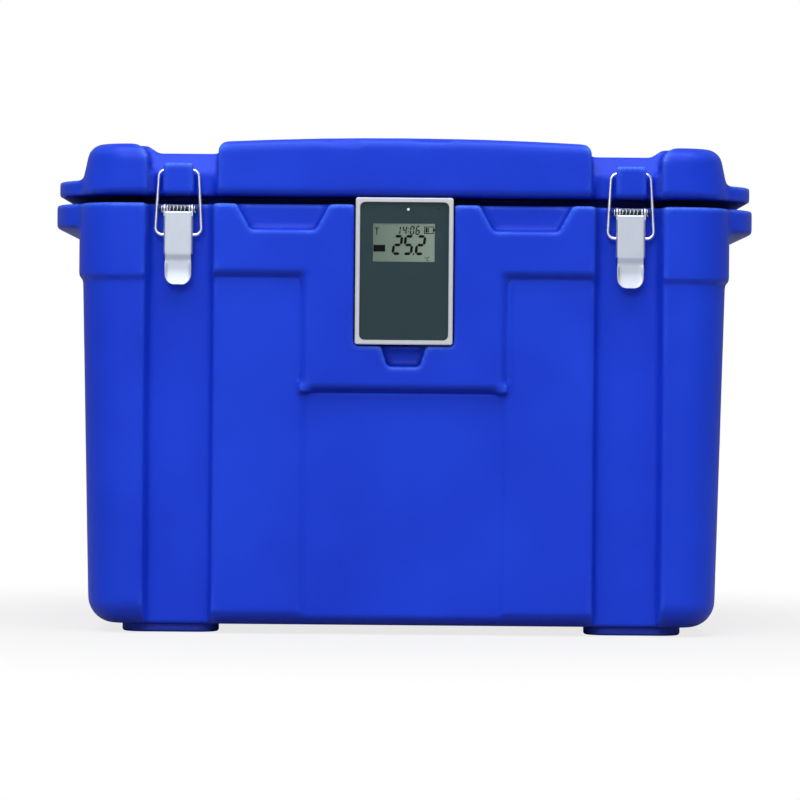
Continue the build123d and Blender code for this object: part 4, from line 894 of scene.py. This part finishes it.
def plate_with_window(name, outer, hole, y_front, y_back, corner, finish):
    """A thin film behind the glass with a window; outer and hole are x0, x1, z0, z1."""
    shape = bmesh.new()
    x0, x1, z0, z1 = outer
    loops = []
    for y in (y_front, y_back):
        ring = []
        for cx, cz, start in ((x1 - corner, z1 - corner, 0), (x0 + corner, z1 - corner, 90),
                              (x0 + corner, z0 + corner, 180), (x1 - corner, z0 + corner, 270)):
            for k in range(5):
                a = math.radians(start + 22.5 * k)
                ring.append(shape.verts.new((cx + corner * math.cos(a), y,
                                             cz + corner * math.sin(a))))
        u0, u1, w0, w1 = hole
        inner = []
        for ux, uz in ((u1, w1), (u0, w1), (u0, w0), (u1, w0)):
            inner += [shape.verts.new((ux, y, uz)) for _ in range(5)]
        loops.append((ring, inner))
    (front, front_in), (back, back_in) = loops
    count = len(front)
    for i in range(count):
        j = (i + 1) % count
        shape.faces.new((front[i], front[j], front_in[j], front_in[i]))
        shape.faces.new((back[j], back[i], back_in[i], back_in[j]))
        shape.faces.new((front[j], front[i], back[i], back[j]))
        shape.faces.new((front_in[i], front_in[j], back_in[j], back_in[i]))
    bmesh.ops.remove_doubles(shape, verts=shape.verts, dist=1e-6)
    bmesh.ops.recalc_face_normals(shape, faces=shape.faces)
    mesh = mesh_of(name, shape)
    mesh.materials.append(finish)
    piece = link_object(name, mesh)
    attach(piece, "logger")


def printed_shapes(name, outlines, y_front, y_back, finish):
    """Thin raised shapes from lists of (x, z) outlines."""
    shape = bmesh.new()
    for points in outlines:
        front = [shape.verts.new((x, y_front, z)) for x, z in points]
        back = [shape.verts.new((x, y_back, z)) for x, z in points]
        shape.faces.new(front)
        shape.faces.new(list(reversed(back)))
        for i in range(len(points)):
            j = (i + 1) % len(points)
            shape.faces.new((front[j], front[i], back[i], back[j]))
    bmesh.ops.recalc_face_normals(shape, faces=shape.faces)
    mesh = mesh_of(name, shape)
    mesh.materials.append(finish)
    piece = link_object(name, mesh)
    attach(piece, "logger")


SEGMENTS = {"0": "abcdef", "1": "bc", "2": "abged", "4": "fgbc", "5": "afgcd", "6": "afgedc",
            "C": "afed"}


LEAN = 0.12                     # how far the figures lean, to their height


def digit(sign, left, foot, width, height, bar):
    """Outlines of a seven-bar figure, leaning to the right."""
    gap = bar * 0.12
    mid = height / 2
    runs = {"a": ((0, height), (width, height)), "g": ((0, mid), (width, mid)),
            "d": ((0, 0), (width, 0)), "f": ((0, mid), (0, height)),
            "b": ((width, mid), (width, height)), "e": ((0, 0), (0, mid)),
            "c": ((width, 0), (width, mid))}
    found = []
    for key in SEGMENTS[sign]:
        (x0, z0), (x1, z1) = runs[key]
        h = bar / 2
        if z0 == z1:
            x0, x1 = x0 + gap, x1 - gap
            points = [(x0, z0), (x0 + h, z0 + h), (x1 - h, z0 + h), (x1, z0), (x1 - h, z0 - h),
                      (x0 + h, z0 - h)]
        else:
            z0, z1 = z0 + gap, z1 - gap
            points = [(x0, z0), (x0 + h, z0 + h), (x0 + h, z1 - h), (x0, z1), (x0 - h, z1 - h),
                      (x0 - h, z0 + h)]
        found.append([(left + x + LEAN * z, foot + z) for x, z in points])
    return found


def bar_outline(x0, x1, z0, z1):
    return [(x0, z0), (x1, z0), (x1, z1), (x0, z1)]


low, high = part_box("logger_glass")
WINDOW_LAP = 0.0006             # the print laps over the display's edges
FILM_INSET, FILM_CORNER = 0.0002, 0.0046
window = (LCD_LOW.x + WINDOW_LAP, LCD_HIGH.x - WINDOW_LAP,
          LCD_LOW.z + WINDOW_LAP, LCD_HIGH.z - WINDOW_LAP)
outline = (low.x + FILM_INSET, high.x - FILM_INSET, low.z + FILM_INSET, high.z - FILM_INSET)
film_y = high.y + 0.00001
plate_with_window("glass_print", outline, window, film_y, film_y + 0.00003, FILM_CORNER,
                  print_ink)
ink_y = LCD_LOW.y
left, top = LCD_LOW.x, LCD_HIGH.z
marks = []
for sign, x in (("1", 0.0222), ("4", 0.0278), ("0", 0.0347), ("6", 0.0399)):
    marks += digit(sign, left + x, top - 0.0104, 0.0028, 0.0072, 0.0011)
for z in (0.0085, 0.0055):
    marks.append(bar_outline(left + 0.0326, left + 0.0334, top - z, top - z + 0.0008))
for sign, x in (("2", 0.0188), ("5", 0.0289), ("2", 0.0400)):
    marks += digit(sign, left + x, top - 0.0284, 0.0066, 0.0160, 0.0025)
marks.append(bar_outline(left + 0.0372, left + 0.0387, top - 0.0294, top - 0.0279))
marks += digit("C", left + 0.0502, top - 0.0346, 0.0020, 0.0032, 0.0006)
marks.append([(left + 0.0488 + 0.0005 * math.cos(k * math.pi / 4),
               top - 0.0318 + 0.0005 * math.sin(k * math.pi / 4)) for k in range(8)])
marks.append(bar_outline(left + 0.0010, left + 0.0118, top - 0.0266, top - 0.0204))
battery_x, battery_z = left + 0.0475, top - 0.0100
for x0, x1, z0, z1 in ((0, 0.0088, 0, 0.0007), (0, 0.0088, 0.0060, 0.0067), (0, 0.0007, 0, 0.0067),
                       (0.0081, 0.0088, 0, 0.0067), (0.0088, 0.0098, 0.0020, 0.0047),
                       (0.0014, 0.0032, 0.0013, 0.0054), (0.0038, 0.0046, 0.0013, 0.0054)):
    marks.append(bar_outline(battery_x + x0, battery_x + x1, battery_z + z0, battery_z + z1))
mast_x, mast_z = left + 0.0040, top - 0.0115
marks.append(bar_outline(mast_x - 0.0004, mast_x + 0.0004, mast_z, mast_z + 0.0078))
for s in (-1, 1):
    marks.append([(mast_x + s * 0.0024, mast_z + 0.0078), (mast_x + s * 0.0018, mast_z + 0.0078),
                  (mast_x, mast_z + 0.0052), (mast_x, mast_z + 0.0042)])
printed_shapes("display_figures", marks, ink_y - 0.00012, ink_y - 0.00002, liquid_crystal)


def disc(x, z, radius):
    return [(x + radius * math.cos(k * math.pi / 12), z + radius * math.sin(k * math.pi / 12))
            for k in range(24)]


lamp_low, lamp_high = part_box("logger_lamp")
lamp_x, lamp_z = (lamp_low.x + lamp_high.x) / 2, (lamp_low.z + lamp_high.z) / 2
dot_front, dot_back = film_y - 0.000007, film_y - 0.000002
printed_shapes("lamp_lens", [disc(lamp_x, lamp_z, 0.00125)], dot_front, dot_back, lamp)
printed_shapes("sensor_hole", [disc(lamp_x + 0.0277, lamp_z + 0.0006, 0.0007)],
               dot_front, dot_back, liquid_crystal)


# ---------------------------------------------------------------- the rest
BEVELS = {"stainless_sheet": 0.0003, "zinc_screws": 0.0003, "silver_abs": 0.0006,
          "tinted_glass": 0.0003, "rubber_feet": 0.001, "silicone_gasket": 0.001,
          "grey_polypropylene": 0.0006}
slots = {}
for part in frame["record"]["subparts"]:
    for node in part.get("nodes", [part.get("node")]):
        slots[node] = part["material_slot"]
for node, piece in NODES.items():
    if piece.hide_render:
        continue
    slot = slots.get(node)
    if slot is None:
        print("no slot", node)
        continue
    piece.data.materials.clear()
    # The pivot pins take the dark steel that paints the shade inside their springs.
    piece.data.materials.append(shaded_pin_metal if node.startswith("latch_pin") else FINISHES[slot])
    if slot in BEVELS:
        weld = piece.modifiers.new("weld", "WELD")
        weld.merge_threshold = 1e-5
        bevel = piece.modifiers.new("bevel", "BEVEL")
        bevel.width, bevel.segments = BEVELS[slot], 2
        bevel.limit_method, bevel.angle_limit = "ANGLE", math.radians(32)

scene.view_settings.view_transform = "Standard"
